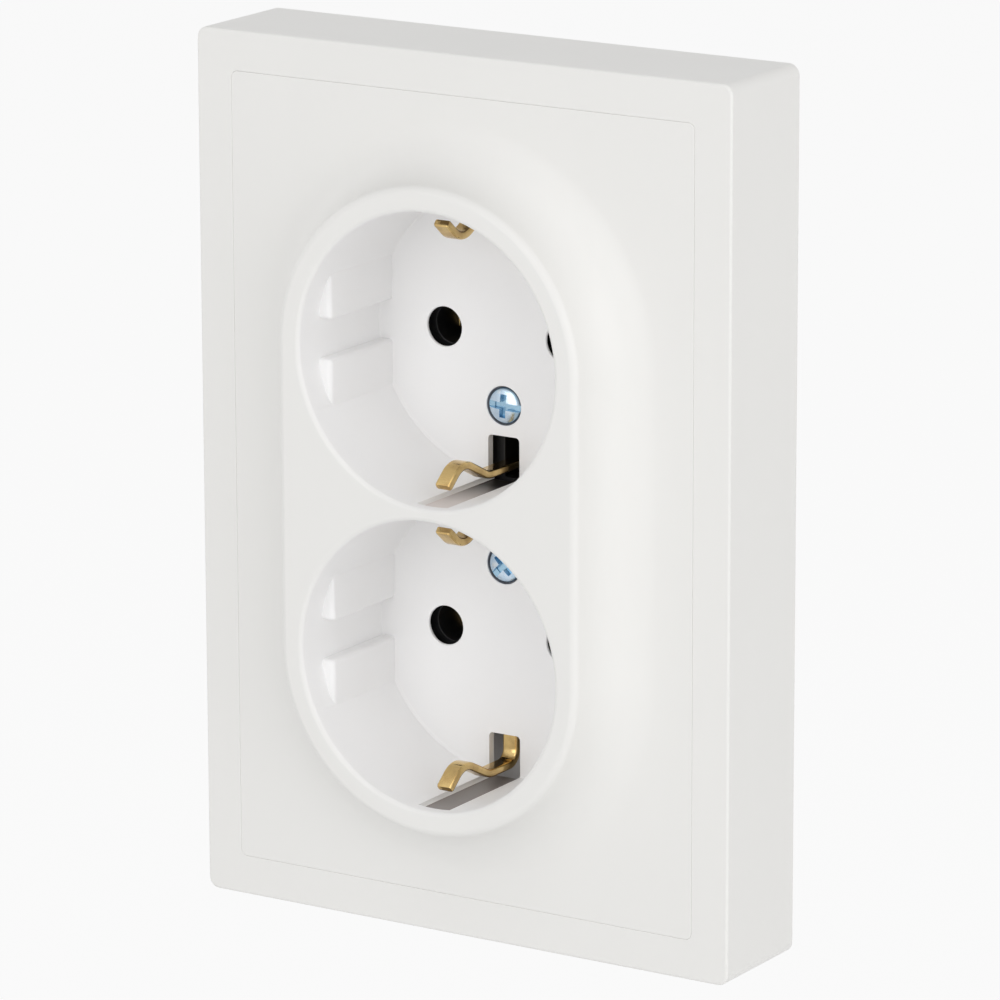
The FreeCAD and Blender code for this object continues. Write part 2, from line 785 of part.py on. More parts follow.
def clip_profile(body, name, s, depth, up):
    """Cross-section of the clip strip, lying across the strip's run at one height."""
    profile = Drawing(body, name, LEVEL, up)
    half = s.clip_width / 2
    profile.box(-half, -depth - s.strip_thickness / 2, half, s.strip_thickness / 2 - depth)
    return profile


def clip_run(s, depth, start, outward):
    """Run of one earth clip from the flat of its strip to its tip, in the middle plane."""
    def up(radius):
        return s.cup_height + radius * outward

    return [(-depth, start),
            (-depth, up(s.clip_valley_radius), s.clip_bend),
            (-s.clip_valley_depth, up(s.clip_valley_radius), s.clip_valley_bend),
            (-s.clip_apex_depth, up(s.clip_apex_radius), s.clip_apex_bend),
            (-s.clip_tip_depth, up(s.clip_tip_radius))]


def earth_strap(doc, s):
    """Brass strap behind the floors, whose two ends are the outer earth clips."""
    body = new_body(doc, "earth_strap")
    flat = Drawing(body, "strap_outline", FRONT, s.base_front)
    flat.box(-s.strap_half_width, -s.strap_end, s.strap_half_width, s.strap_end, s.strap_corner)
    flat.box(-s.strap_window, -s.strap_window_height, s.strap_window, s.strap_window_height)
    for upper in (1, -1):
        flat.circle(0, s.screw_height * upper, s.screw_thread / 2 + s.thread_gap)
    pad(body, "strap_flat", flat, s.strip_thickness)
    collar = Drawing(body, "thread_collar_outline", FRONT, s.base_front)
    for upper in (1, -1):
        collar.circle(0, s.screw_height * upper, s.thread_collar / 2)
        collar.circle(0, s.screw_height * upper, s.screw_thread / 2 + s.thread_gap)
    pad(body, "thread_collars", collar, s.thread_collar_depth, back=True)
    tab = Drawing(body, "strap_tab_outline", FRONT, s.strap_front)
    inner = s.earth_face - s.strip_thickness
    tab.box(inner - s.strip_thickness, s.tab_low, inner, s.tab_high)
    pad(body, "strap_tab", tab, s.strap_front - s.arm_back, back=True)
    start = s.strap_end - s.strip_thickness
    profile = clip_profile(body, "outer_clip_section", s, s.strap_middle, start)
    path = Drawing(body, "outer_clip_run", SIDE)
    path.run(clip_run(s, s.strap_middle, start, 1), closed=False)
    clip = sweep(body, "outer_clip", profile, path)
    mirror(body, "outer_clip_lower", [clip], LEVEL)
    return body


def earth_bridge(doc, s):
    """Brass U strip whose legs are the inner earth clips, with the earth terminal plate."""
    body = new_body(doc, "earth_bridge")
    middle = s.bridge_front - s.strip_thickness / 2
    profile = clip_profile(body, "inner_clip_section", s, middle, 0)
    path = Drawing(body, "inner_clip_run", SIDE)
    path.run(clip_run(s, middle, 0, -1), closed=False)
    clip = sweep(body, "inner_clip", profile, path)
    mirror(body, "inner_clip_lower", [clip], LEVEL)
    outer = s.earth_face - s.strip_thickness
    foot = Drawing(body, "bridge_foot_outline", FRONT, s.bridge_back)
    foot.box(outer, -s.clip_valley_inner / 2, s.clip_width / 2, s.clip_valley_inner / 2)
    pad(body, "bridge_foot", foot, s.strip_thickness)
    plate = Drawing(body, "earth_plate_outline", FRONT, -s.terminal_reach)
    plate.box(outer, -s.terminal_half_height, s.earth_face, s.terminal_half_height)
    pad(body, "earth_plate", plate, s.bridge_front + s.terminal_reach)
    arm = Drawing(body, "bridge_arm_outline", FRONT, s.arm_back)
    arm.box(outer, s.terminal_half_height - s.strip_thickness, s.earth_face, s.tab_high)
    pad(body, "bridge_arm", arm, s.bridge_arm_depth)
    return body


def base_body(doc, s):
    """Black insulating block with its flange, pin passages and contact chambers."""
    body = new_body(doc, "base_body")
    half_width, half_height = s.flange_width / 2, s.flange_height / 2
    flange = Drawing(body, "flange_outline", FRONT, s.ring_thickness)
    flange.box(-half_width, -half_height, half_width, half_height, s.flange_corner)
    pad(body, "flange", flange, s.base_front - s.ring_thickness)
    block = Drawing(body, "block_outline", FRONT, s.base_front)
    block.barrel(s.block_half_width, s.block_radius)
    pad(body, "block", block, s.base_front + s.block_depth, back=True)
    line_chambers(body, s)
    earth_chamber(body, s)
    base_holes(body, s)
    return body


def line_chambers(body, s):
    """The two long chambers for the pin contacts, each with its terminal bay."""
    reach = s.leaf_offset + s.contact_thickness / 2 + s.part_gap
    high = s.cup_height + s.contact_turn + reach
    chambers = Drawing(body, "line_chamber_outline", FRONT, s.block_back)
    bays = Drawing(body, "bay_outline", FRONT, s.block_back)
    for side in (1, -1):
        near, far = (s.pin_across - reach) * side, (s.pin_across + reach) * side
        left, right = (near, far) if side > 0 else (far, near)
        chambers.box(left, -high, right, high, reach - s.corner_play)
        wall = s.bay_wall * side
        inner = s.pin_across * side
        left, right = (inner, wall) if side > 0 else (wall, inner)
        bays.box(left, -s.bay_half_height, right, s.bay_half_height)
    pocket(body, "line_chambers", chambers, s.roof + s.block_depth, along=True)
    pocket(body, "terminal_bays", bays, s.block_depth - s.bay_roof, along=True)


def earth_chamber(body, s):
    """The middle chamber with the passages for the inner clips and the strap's tab."""
    left = s.earth_face - s.strip_thickness - s.part_gap
    right = s.earth_face + s.spring_reach + s.spring_thickness / 2
    roof = s.bridge_front
    chamber = Drawing(body, "earth_chamber_outline", FRONT, s.block_back)
    chamber.box(left, -s.bay_half_height, right, s.bay_half_height)
    pocket(body, "earth_chamber", chamber, roof + s.block_depth, along=True)
    passages = Drawing(body, "clip_passage_outline", FRONT, s.base_front)
    half = s.clip_width / 2 + s.part_gap
    for upper in (1, -1):
        low, high = s.clip_passage_start * upper, s.clip_passage_end * upper
        bottom, top = (low, high) if upper > 0 else (high, low)
        passages.box(-half, bottom, half, top)
    pocket(body, "clip_passages", passages, s.base_front - roof + s.part_gap)
    recess = Drawing(body, "bridge_arm_recess_outline", FRONT, s.block_back)
    tab_left = s.earth_face - s.strip_thickness * 2 - s.part_gap
    recess.box(tab_left, s.bay_half_height - s.chamber_wall, s.earth_face + s.part_gap,
               s.tab_high + s.part_gap)
    arm_roof = s.arm_back + s.bridge_arm_depth + s.part_gap
    pocket(body, "bridge_arm_recess", recess, arm_roof + s.block_depth, along=True)
    slit = Drawing(body, "strap_tab_slit_outline", FRONT, s.base_front)
    slit.box(tab_left, s.tab_low - s.part_gap, s.earth_face - s.strip_thickness + s.part_gap,
             s.tab_high + s.part_gap)
    pocket(body, "strap_tab_slit", slit, s.base_front - arm_roof + s.part_gap)
    cores = Drawing(body, "core_outline", FRONT, s.block_back)
    for low, high in ((s.core_start, s.core_end), (-s.core_end, -s.core_start)):
        cores.box(-s.core_half_width, low, s.core_half_width, high)
    pocket(body, "cores", cores, s.core_depth, along=True)


def base_holes(body, s):
    """Holes of the base for the pins, screws and rivets."""
    pins = Drawing(body, "pin_passage_outline", FRONT, s.base_front)
    wells = Drawing(body, "collar_well_outline", FRONT, s.base_front)
    bores = Drawing(body, "screw_bore_outline", FRONT, s.base_front)
    rivets = Drawing(body, "rivet_hole_outline", FRONT, s.base_front)
    rear = Drawing(body, "rear_screw_hole_outline", FRONT, s.block_back)
    for upper in (1, -1):
        wells.circle(0, s.screw_height * upper, s.thread_collar / 2 + s.part_gap)
        bores.circle(0, s.screw_height * upper, s.screw_hole / 2)
        rear.circle(0, s.cover_screw_spacing / 2 * upper, s.cover_screw_radius + s.thread_gap)
        for right in (1, -1):
            pins.circle(s.pin_across * right, s.cup_height * upper, s.pin_hole / 2)
            rivets.circle(s.rivet_across * right, s.rivet_up * upper, s.rivet_radius + s.thread_gap)
    pocket(body, "pin_passages", pins, s.front_wall)
    pocket(body, "collar_wells", wells, s.thread_collar_depth + s.part_gap)
    pocket(body, "screw_bores", bores, s.base_front + s.screw_length + s.screw_seat_depth
           + s.part_gap - s.floor_front)
    pocket(body, "rivet_holes", rivets, s.base_front - s.ring_thickness)
    pocket(body, "rear_screw_holes", rear, s.cover_screw_length, along=True)
    seats = Drawing(body, "claw_screw_seat_outline", FRONT, s.base_front)
    holes = Drawing(body, "claw_screw_hole_outline", FRONT, s.base_front)
    for side in (1, -1):
        spot = (s.claw_screw_across * side, -s.claw_offset * side)
        seats.circle(*spot, s.claw_screw_head + s.claw_screw_clearance)
        holes.circle(*spot, s.claw_screw_radius + s.claw_screw_clearance)
    pocket(body, "claw_screw_seats", seats, s.claw_screw_seat)
    pocket(body, "claw_screw_holes", holes, s.base_front - s.ring_thickness)


def rear_cover(doc, s):
    """The cover on the back of the base, with wire entries and lever windows."""
    body = new_body(doc, "rear_cover")
    back = s.block_back - s.cover_thickness
    outline = Drawing(body, "rear_cover_outline", FRONT, back)
    outline.barrel(s.block_half_width, s.block_radius)
    pad(body, "rear_cover_plate", outline, s.cover_thickness)
    posts = Drawing(body, "post_outline", FRONT, s.block_back)
    for right in (1, -1):
        across = (s.line_face - s.contact_thickness / 2) * right
        for upper in (1, -1):
            middle = (s.post_start + s.post_length / 2) * upper
            posts.box(across - s.post_thickness / 2, middle - s.post_length / 2,
                      across + s.post_thickness / 2, middle + s.post_length / 2)
    pad(body, "contact_posts", posts, s.contact_back + s.block_depth)
    feet = Drawing(body, "foot_outline", FRONT, s.block_back)
    across = s.earth_face - s.strip_thickness / 2
    for upper in (1, -1):
        middle = (s.terminal_half_height - s.foot_inset) * upper
        feet.box(across - s.post_thickness / 2, middle - s.post_thickness,
                 across + s.post_thickness / 2, middle + s.post_thickness)
    pad(body, "earth_plate_feet", feet, s.block_depth - s.terminal_reach)
    wires = Drawing(body, "wire_hole_outline", FRONT, s.block_back)
    windows = Drawing(body, "lever_window_outline", FRONT, s.block_back)
    for face, side in terminals(s).values():
        for upper in (1, -1):
            wires.circle(face + s.wire_offset * side, s.wire_spread / 2 * upper, s.wire_hole / 2)
        near = face + (s.part_gap - s.lever_play) * side
        far = face + (s.part_gap + s.lever_thickness + s.lever_play) * side
        left, right = (near, far) if side > 0 else (far, near)
        half = s.lever_width / 2 + s.lever_play
        windows.box(left, -half, right, half)
    pocket(body, "wire_holes", wires, s.cover_thickness)
    pocket(body, "lever_windows", windows, s.cover_thickness)
    screws = Drawing(body, "rear_screw_outline", FRONT, s.block_back)
    for upper in (1, -1):
        screws.circle(0, s.cover_screw_spacing / 2 * upper, s.cover_screw_radius + s.thread_gap)
    holes = pocket(body, "rear_screw_holes_in_cover", screws, s.cover_thickness)
    chamfered(body, "countersinks", holes, s.cover_screw_head - s.cover_screw_radius,
              ring_edge(back, s.cover_screw_radius + s.thread_gap))
    return body


def terminals(s):
    """The contact face of each terminal and the side on which its wires lie."""
    return {"live": (-s.line_face, -1), "neutral": (s.line_face, 1), "earth": (s.earth_face, 1)}


def rear_cover_screws(doc, s):
    """The two countersunk screws of the rear cover."""
    body = new_body(doc, "rear_cover_screws")
    back = s.block_depth + s.cover_thickness
    head, shank = s.cover_screw_head, s.cover_screw_radius
    for name, upper in (("upper", 1), ("lower", -1)):
        section = Drawing(body, "rear_screw_section_" + name, LEVEL, s.cover_screw_spacing / 2 * upper)
        section.run([(0, back), (0, back - s.cover_screw_length), (shank, back - s.cover_screw_length),
                     (shank, back - head + shank), (head, back)])
        revolve(body, "rear_screw_" + name, section)
    return body


def contact_bar(doc, s, name, side):
    """Brass strip folded at both ends so that its leaves grip one pin of each plug."""
    body = new_body(doc, name)
    inner = (s.pin_across - s.leaf_offset) * side
    outer = (s.pin_across + s.leaf_offset) * side
    start = s.cup_height - s.contact_lead
    turn = s.cup_height + s.contact_turn + s.leaf_offset
    bend = s.leaf_offset - s.corner_play
    half = s.contact_thickness / 2
    profile = Drawing(body, name + "_section", LEVEL, start)
    profile.box(inner - half, -s.contact_front, inner + half, -s.contact_back)
    path = Drawing(body, name + "_run", FRONT, (s.contact_front + s.contact_back) / 2)
    path.run([(inner, start), (inner, turn, bend), (outer, turn, bend),
              (outer, -turn, bend), (inner, -turn, bend), (inner, -start)], closed=False)
    sweep(body, name + "_strip", profile, path)
    plate = Drawing(body, name + "_terminal_outline", FRONT, -s.terminal_reach)
    plate.box(outer - half, -s.terminal_half_height, outer + half, s.terminal_half_height)
    pad(body, name + "_terminal", plate, s.contact_back + s.terminal_reach + s.contact_thickness)
    return body


def clamp_spring(doc, s, name, face, side):
    """Steel leaf that presses the wires against one terminal's face."""
    body = new_body(doc, name)
    wall = face + s.spring_reach * side
    foot = s.block_depth
    top = s.bay_roof + s.spring_thickness / 2
    half_width, half = s.spring_width / 2, s.spring_thickness / 2
    profile = Drawing(body, name + "_section", FRONT, -foot)
    profile.box(wall - half, -half_width, wall + half, half_width)
    path = Drawing(body, name + "_run", LEVEL)
    path.run([(wall, foot), (wall, top, s.spring_bend),
              (wall - s.spring_loop * side, top, s.spring_bend),
              (face + (s.spring_thickness + s.part_gap) * side, s.lever_nose - s.part_gap * 2)],
             closed=False)
    sweep(body, name + "_leaf", profile, path)
    return body


def release_lever(doc, s, name, face, side):
    """Plastic lever that opens one terminal when it is pressed from behind."""
    body = new_body(doc, name)
    near = face + s.part_gap * side
    far = near + s.lever_thickness * side
    left, right = (near, far) if side > 0 else (far, near)
    half = s.lever_width / 2
    back = s.block_depth + s.cover_thickness + s.lever_stand
    stem = Drawing(body, name + "_stem_outline", FRONT, -back)
    stem.box(left, -half, right, half)
    shaft = pad(body, name + "_stem", stem, back - s.lever_nose)
    collar = Drawing(body, name + "_collar_outline", FRONT, s.collar_back)
    collar.box(left, -s.lever_collar / 2, right, s.lever_collar / 2)
    pad(body, name + "_collar", collar, s.lever_collar_depth)
    notch = Drawing(body, name + "_notch_outline", FRONT, -back)
    middle = (left + right) / 2
    notch.box(middle - s.lever_notch / 2, -half, middle + s.lever_notch / 2, half)
    pocket(body, name + "_notch", notch, s.lever_notch_depth, along=True)
    return body


def support_ring(doc, s):
    """Steel ring that lies on the wall and carries the base and the claws."""
    body = new_body(doc, "support_ring")
    ring = Drawing(body, "ring_outline", FRONT)
    ring.box(-s.ring_half_width, -s.ring_half_height, s.ring_half_width, s.ring_half_height,
             s.ring_corner)
    ring.barrel(s.ring_opening, s.block_radius + s.ring_gap)
    pad(body, "ring", ring, s.ring_thickness)
    slots = Drawing(body, "box_slot_outline", FRONT, s.ring_thickness)
    holes = Drawing(body, "ring_hole_outline", FRONT, s.ring_thickness)
    ears = Drawing(body, "ear_outline", FRONT)
    reach = s.claw_width / 2 + s.part_gap / 2
    for side in (1, -1):
        middle = s.box_screw_spacing / 2 * side
        slots.box(middle - s.box_slot_length / 2, -s.box_slot_width / 2,
                  middle + s.box_slot_length / 2, s.box_slot_width / 2,
                  s.box_slot_width / 2 - s.corner_play)
        level = -s.claw_offset * side
        holes.circle(s.claw_screw_across * side, level, s.claw_screw_radius + s.claw_screw_clearance)
        for upper in (1, -1):
            holes.circle(s.rivet_across * side, s.rivet_up * upper, s.rivet_radius + s.thread_gap)
            inner, outer = level + reach * upper, level + (reach + s.ear_thickness) * upper
            low, high = (inner, outer) if upper > 0 else (outer, inner)
            ears.box(s.claw_hinge_across * side - s.ear_half_width, low,
                     s.claw_hinge_across * side + s.ear_half_width, high)
    pocket(body, "box_slots", slots, s.ring_thickness)
    drilled = pocket(body, "ring_holes", holes, s.ring_thickness)
    chamfered(body, "rivet_sinks", drilled, s.rivet_sink, ring_edge(size(0), s.rivet_radius + s.thread_gap))
    pad(body, "ears", ears, s.ear_depth, back=True)
    for name, side in (("right", 1), ("left", -1)):
        level = -s.claw_offset * side
        hinge = Drawing(body, "ear_hole_outline_" + name, LEVEL, level - reach - s.ear_thickness)
        hinge.circle(s.claw_hinge_across * side, s.claw_hinge_depth,
                     s.claw_pin_radius + s.claw_pin_clearance)
        pocket(body, "ear_holes_" + name, hinge, (reach + s.ear_thickness) * 2, along=True)
    return body


def ring_rivets(doc, s):
    """Four rivets that hold the ring under the base's flange."""
    body = new_body(doc, "ring_rivets")
    top = s.base_front + s.rivet_head_height
    for side, right in (("right", 1), ("left", -1)):
        for level, upper in (("upper", 1), ("lower", -1)):
            name = "rivet_%s_%s" % (level, side)
            section = Drawing(body, name + "_section", LEVEL, s.rivet_up * upper, s.rivet_across * right)
            section.run([(0, 0), (0, -top), (s.rivet_head - s.rivet_head_height, -top),
                         (s.rivet_head, -s.base_front), (s.rivet_radius, -s.base_front),
                         (s.rivet_radius, -s.rivet_sink), (s.rivet_radius + s.rivet_sink, 0)])
            revolve(body, name, section)
    return body


def claw(doc, s, name, side):
    """Hinged steel claw that swings out against the wall of the box."""
    body = new_body(doc, name)
    level = -s.claw_offset * side
    face, outer = s.claw_face * side, (s.claw_face + s.claw_thickness) * side
    hook = outer + s.claw_hook * side
    low = level - s.claw_width / 2
    arm = Drawing(body, name + "_arm_outline", LEVEL, low)
    arm.run([(face, s.claw_hinge_depth), (outer, s.claw_hinge_depth),
             (outer, s.claw_length - s.claw_thickness * 2), (hook, s.claw_length),
             (hook - s.claw_thickness * side, s.claw_length),
             (face, s.claw_length - s.claw_thickness)])
    pad(body, name + "_arm", arm, s.claw_width)
    eye = Drawing(body, name + "_eye_outline", LEVEL, low)
    eye.circle(s.claw_hinge_across * side, s.claw_hinge_depth, s.claw_eye)
    pad(body, name + "_eye", eye, s.claw_width)
    reach = s.claw_width / 2 + s.part_gap / 2 + s.ear_thickness
    pin = Drawing(body, name + "_pin_outline", LEVEL, level - reach)
    pin.circle(s.claw_hinge_across * side, s.claw_hinge_depth, s.claw_pin_radius)
    pad(body, name + "_pin", pin, reach * 2)
    peak = (s.claw_face - s.claw_cam_rise) * side
    for place, start in (("low", low), ("high", low + s.claw_width - s.claw_thickness)):
        cam = Drawing(body, name + "_cam_outline_" + place, LEVEL, start)
        cam.run([(face, s.claw_cam_start), (peak, s.claw_cam_peak), (face, s.claw_cam_end)])
        pad(body, name + "_cam_" + place, cam, s.claw_thickness)
    return body


def claw_screw(doc, s, name, side):
    """Screw that drives one claw, with its head let into the flange."""
    body = new_body(doc, name)
    seat = s.base_front - s.claw_screw_seat
    top = seat + s.claw_screw_head_height
    end = s.claw_screw_length - seat
    section = Drawing(body, name + "_section", LEVEL)
    section.run([(0, -top), (s.claw_screw_head - s.screw_bevel, -top),
                 (s.claw_screw_head, s.screw_bevel - top), (s.claw_screw_head, -seat),
                 (s.claw_screw_radius, -seat), (s.claw_screw_radius, end), (0, end)])
    revolve(body, name + "_turned", section)
    slot = Drawing(body, name + "_slot_outline", FRONT, top)
    slot.box(-s.claw_screw_head, -s.screw_slot / 2, s.claw_screw_head, s.screw_slot / 2)
    pocket(body, name + "_slot", slot, s.screw_slot_depth)
    tie(body, "Placement.Base.x", s.claw_screw_across * side)
    tie(body, "Placement.Base.z", -s.claw_offset * side)
    return body


def claw_nut(doc, s, name, side):
    """Nut that travels on a claw screw and presses the claw's cams outwards."""
    body = new_body(doc, name)
    outline = Drawing(body, name + "_outline", FRONT, -s.nut_depth)
    half_width, half_height = s.nut_width / 2, s.nut_height / 2
    outline.box(-half_width, -half_height, half_width, half_height)
    outline.circle(0, 0, s.claw_screw_radius + s.nut_play)
    pad(body, name + "_block", outline, s.nut_thickness)
    tie(body, "Placement.Base.x", s.claw_screw_across * side)
    tie(body, "Placement.Base.z", -s.claw_offset * side)
    return body


def main():
    """Build every piece, check it and write it out."""
    doc = FreeCAD.newDocument("double_wall_socket")
    s = make_sheet(doc)
    derive(s)
    pieces = [cover_frame(doc, s), centre_plate(doc, s)]
    pieces.append(cover_screw(doc, s, "cover_screw_upper", 1, s.upper_screw_degrees))
    pieces.append(cover_screw(doc, s, "cover_screw_lower", -1, s.lower_screw_degrees))
    pieces += [earth_strap(doc, s), earth_bridge(doc, s), base_body(doc, s), rear_cover(doc, s)]
    pieces.append(rear_cover_screws(doc, s))
    pieces += [support_ring(doc, s), ring_rivets(doc, s)]
    for name, (face, side) in terminals(s).items():
        if name != "earth":
            pieces.append(contact_bar(doc, s, name + "_contact_bar", side))
        pieces.append(clamp_spring(doc, s, name + "_clamp_spring", face, side))
        pieces.append(release_lever(doc, s, name + "_release_lever", face, side))
    for name, side in (("left", -1), ("right", 1)):
        pieces.append(claw(doc, s, "claw_" + name, side))
        pieces.append(claw_screw(doc, s, "claw_screw_" + name, side))
        pieces.append(claw_nut(doc, s, "claw_nut_" + name, side))
    doc.recompute()
    check(doc, pieces)
    os.makedirs("parts", exist_ok=True)
    for piece in pieces:
        piece.Shape.exportStep("parts/%s.step" % piece.Label)


def check(doc, pieces):
    """Stop if an object failed or a piece has no sound shape."""
    for item in doc.Objects:
        if "Invalid" in item.State or "Error" in item.State:
            raise RuntimeError("%s failed: %s" % (item.Name, item.State))
    for piece in pieces:
        if piece.Shape.isNull() or not piece.Shape.isValid():
            raise RuntimeError("%s has no sound shape" % piece.Label)
        box = piece.Shape.BoundBox
        print("%-22s solids %d volume %9.2f  x %7.2f %7.2f  y %7.2f %7.2f  z %7.2f %7.2f" % (
            piece.Label, len(piece.Shape.Solids), piece.Shape.Volume,
            box.XMin, box.XMax, box.YMin, box.YMax, box.ZMin, box.ZMax))


main()
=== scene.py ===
"""Dressed model of a double earthed wall socket on one insert for a wall box.

Sizes inside the classes are millimetres in the frame of the solid model: +X is right and +Z is up as
seen from the front, and a depth is counted from the wall plane towards the front, so y = -depth.
"""

from __future__ import annotations

import json
import logging
import math
from dataclasses import dataclass
from enum import Enum
from typing import Any, Iterable, Protocol, Sequence, Union

import bmesh
import bpy
from mathutils import Matrix, Vector

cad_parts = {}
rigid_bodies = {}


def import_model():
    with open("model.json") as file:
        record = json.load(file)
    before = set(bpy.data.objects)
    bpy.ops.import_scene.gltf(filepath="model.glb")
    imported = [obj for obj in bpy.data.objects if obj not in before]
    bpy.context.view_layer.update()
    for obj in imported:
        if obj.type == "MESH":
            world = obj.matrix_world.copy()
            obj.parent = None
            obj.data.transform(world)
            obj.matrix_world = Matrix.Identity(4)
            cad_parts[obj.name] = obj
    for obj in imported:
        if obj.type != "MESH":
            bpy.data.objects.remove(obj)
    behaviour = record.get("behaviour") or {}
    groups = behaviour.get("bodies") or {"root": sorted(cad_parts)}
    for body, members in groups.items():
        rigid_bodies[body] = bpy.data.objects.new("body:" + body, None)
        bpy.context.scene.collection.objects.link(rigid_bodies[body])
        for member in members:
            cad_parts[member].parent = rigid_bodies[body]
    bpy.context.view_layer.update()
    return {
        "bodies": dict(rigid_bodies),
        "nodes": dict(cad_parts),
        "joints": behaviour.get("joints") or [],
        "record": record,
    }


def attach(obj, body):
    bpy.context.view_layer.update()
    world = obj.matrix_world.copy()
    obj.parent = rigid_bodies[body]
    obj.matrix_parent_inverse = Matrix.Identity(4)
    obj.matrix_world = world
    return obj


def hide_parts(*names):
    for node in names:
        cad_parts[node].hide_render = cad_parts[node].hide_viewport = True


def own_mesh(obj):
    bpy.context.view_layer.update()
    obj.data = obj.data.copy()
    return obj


LOG = logging.getLogger("socket")

# Metres in a millimetre.
MM = 0.001
# Signs of right and left, or of the upper and the lower recess.
SIDES = (1, -1)
# How far a cutter reaches past the face that it opens.
PAST = 1.0
# How far a united shape sinks into the next one.
SUNK = 0.1

Point = tuple[float, float]
Loop = list[Point]
Ring = tuple[Loop, float]
Colour = tuple[float, float, float]
Number = Union[float, "Value"]
Key = Union[str, int]


# Shader graphs


class Value:
    """One output of a shader graph, with arithmetic that adds Math nodes."""

    def __init__(self, graph: Graph, socket: bpy.types.NodeSocket) -> None:
        """Wrap an output socket of one of the graph's nodes."""
        self.graph = graph
        self.socket = socket

    def _math(self, operation: str, first: Number, second: Number) -> Value:
        """Add one Math node and return its result."""
        node = self.graph.node("ShaderNodeMath", {"operation": operation}, {0: first, 1: second})
        return Value(self.graph, node.outputs[0])

    def __add__(self, other: Number) -> Value:
        """Sum of two values."""
        return self._math("ADD", self, other)

    def __radd__(self, other: Number) -> Value:
        """Sum with a plain number on the left."""
        return self._math("ADD", other, self)

    def __sub__(self, other: Number) -> Value:
        """Difference of two values."""
        return self._math("SUBTRACT", self, other)

    def __mul__(self, other: Number) -> Value:
        """Product of two values."""
        return self._math("MULTIPLY", self, other)

    def __abs__(self) -> Value:
        """Size of a value without its sign."""
        return self._math("ABSOLUTE", self, 0.0)

    def most(self, other: Number) -> Value:
        """The larger of two values."""
        return self._math("MAXIMUM", self, other)

    def within(self, low: float, high: float) -> Value:
        """One where the value lies between two limits, and nothing elsewhere."""
        return self._math("GREATER_THAN", self, low) * self._math("LESS_THAN", self, high)


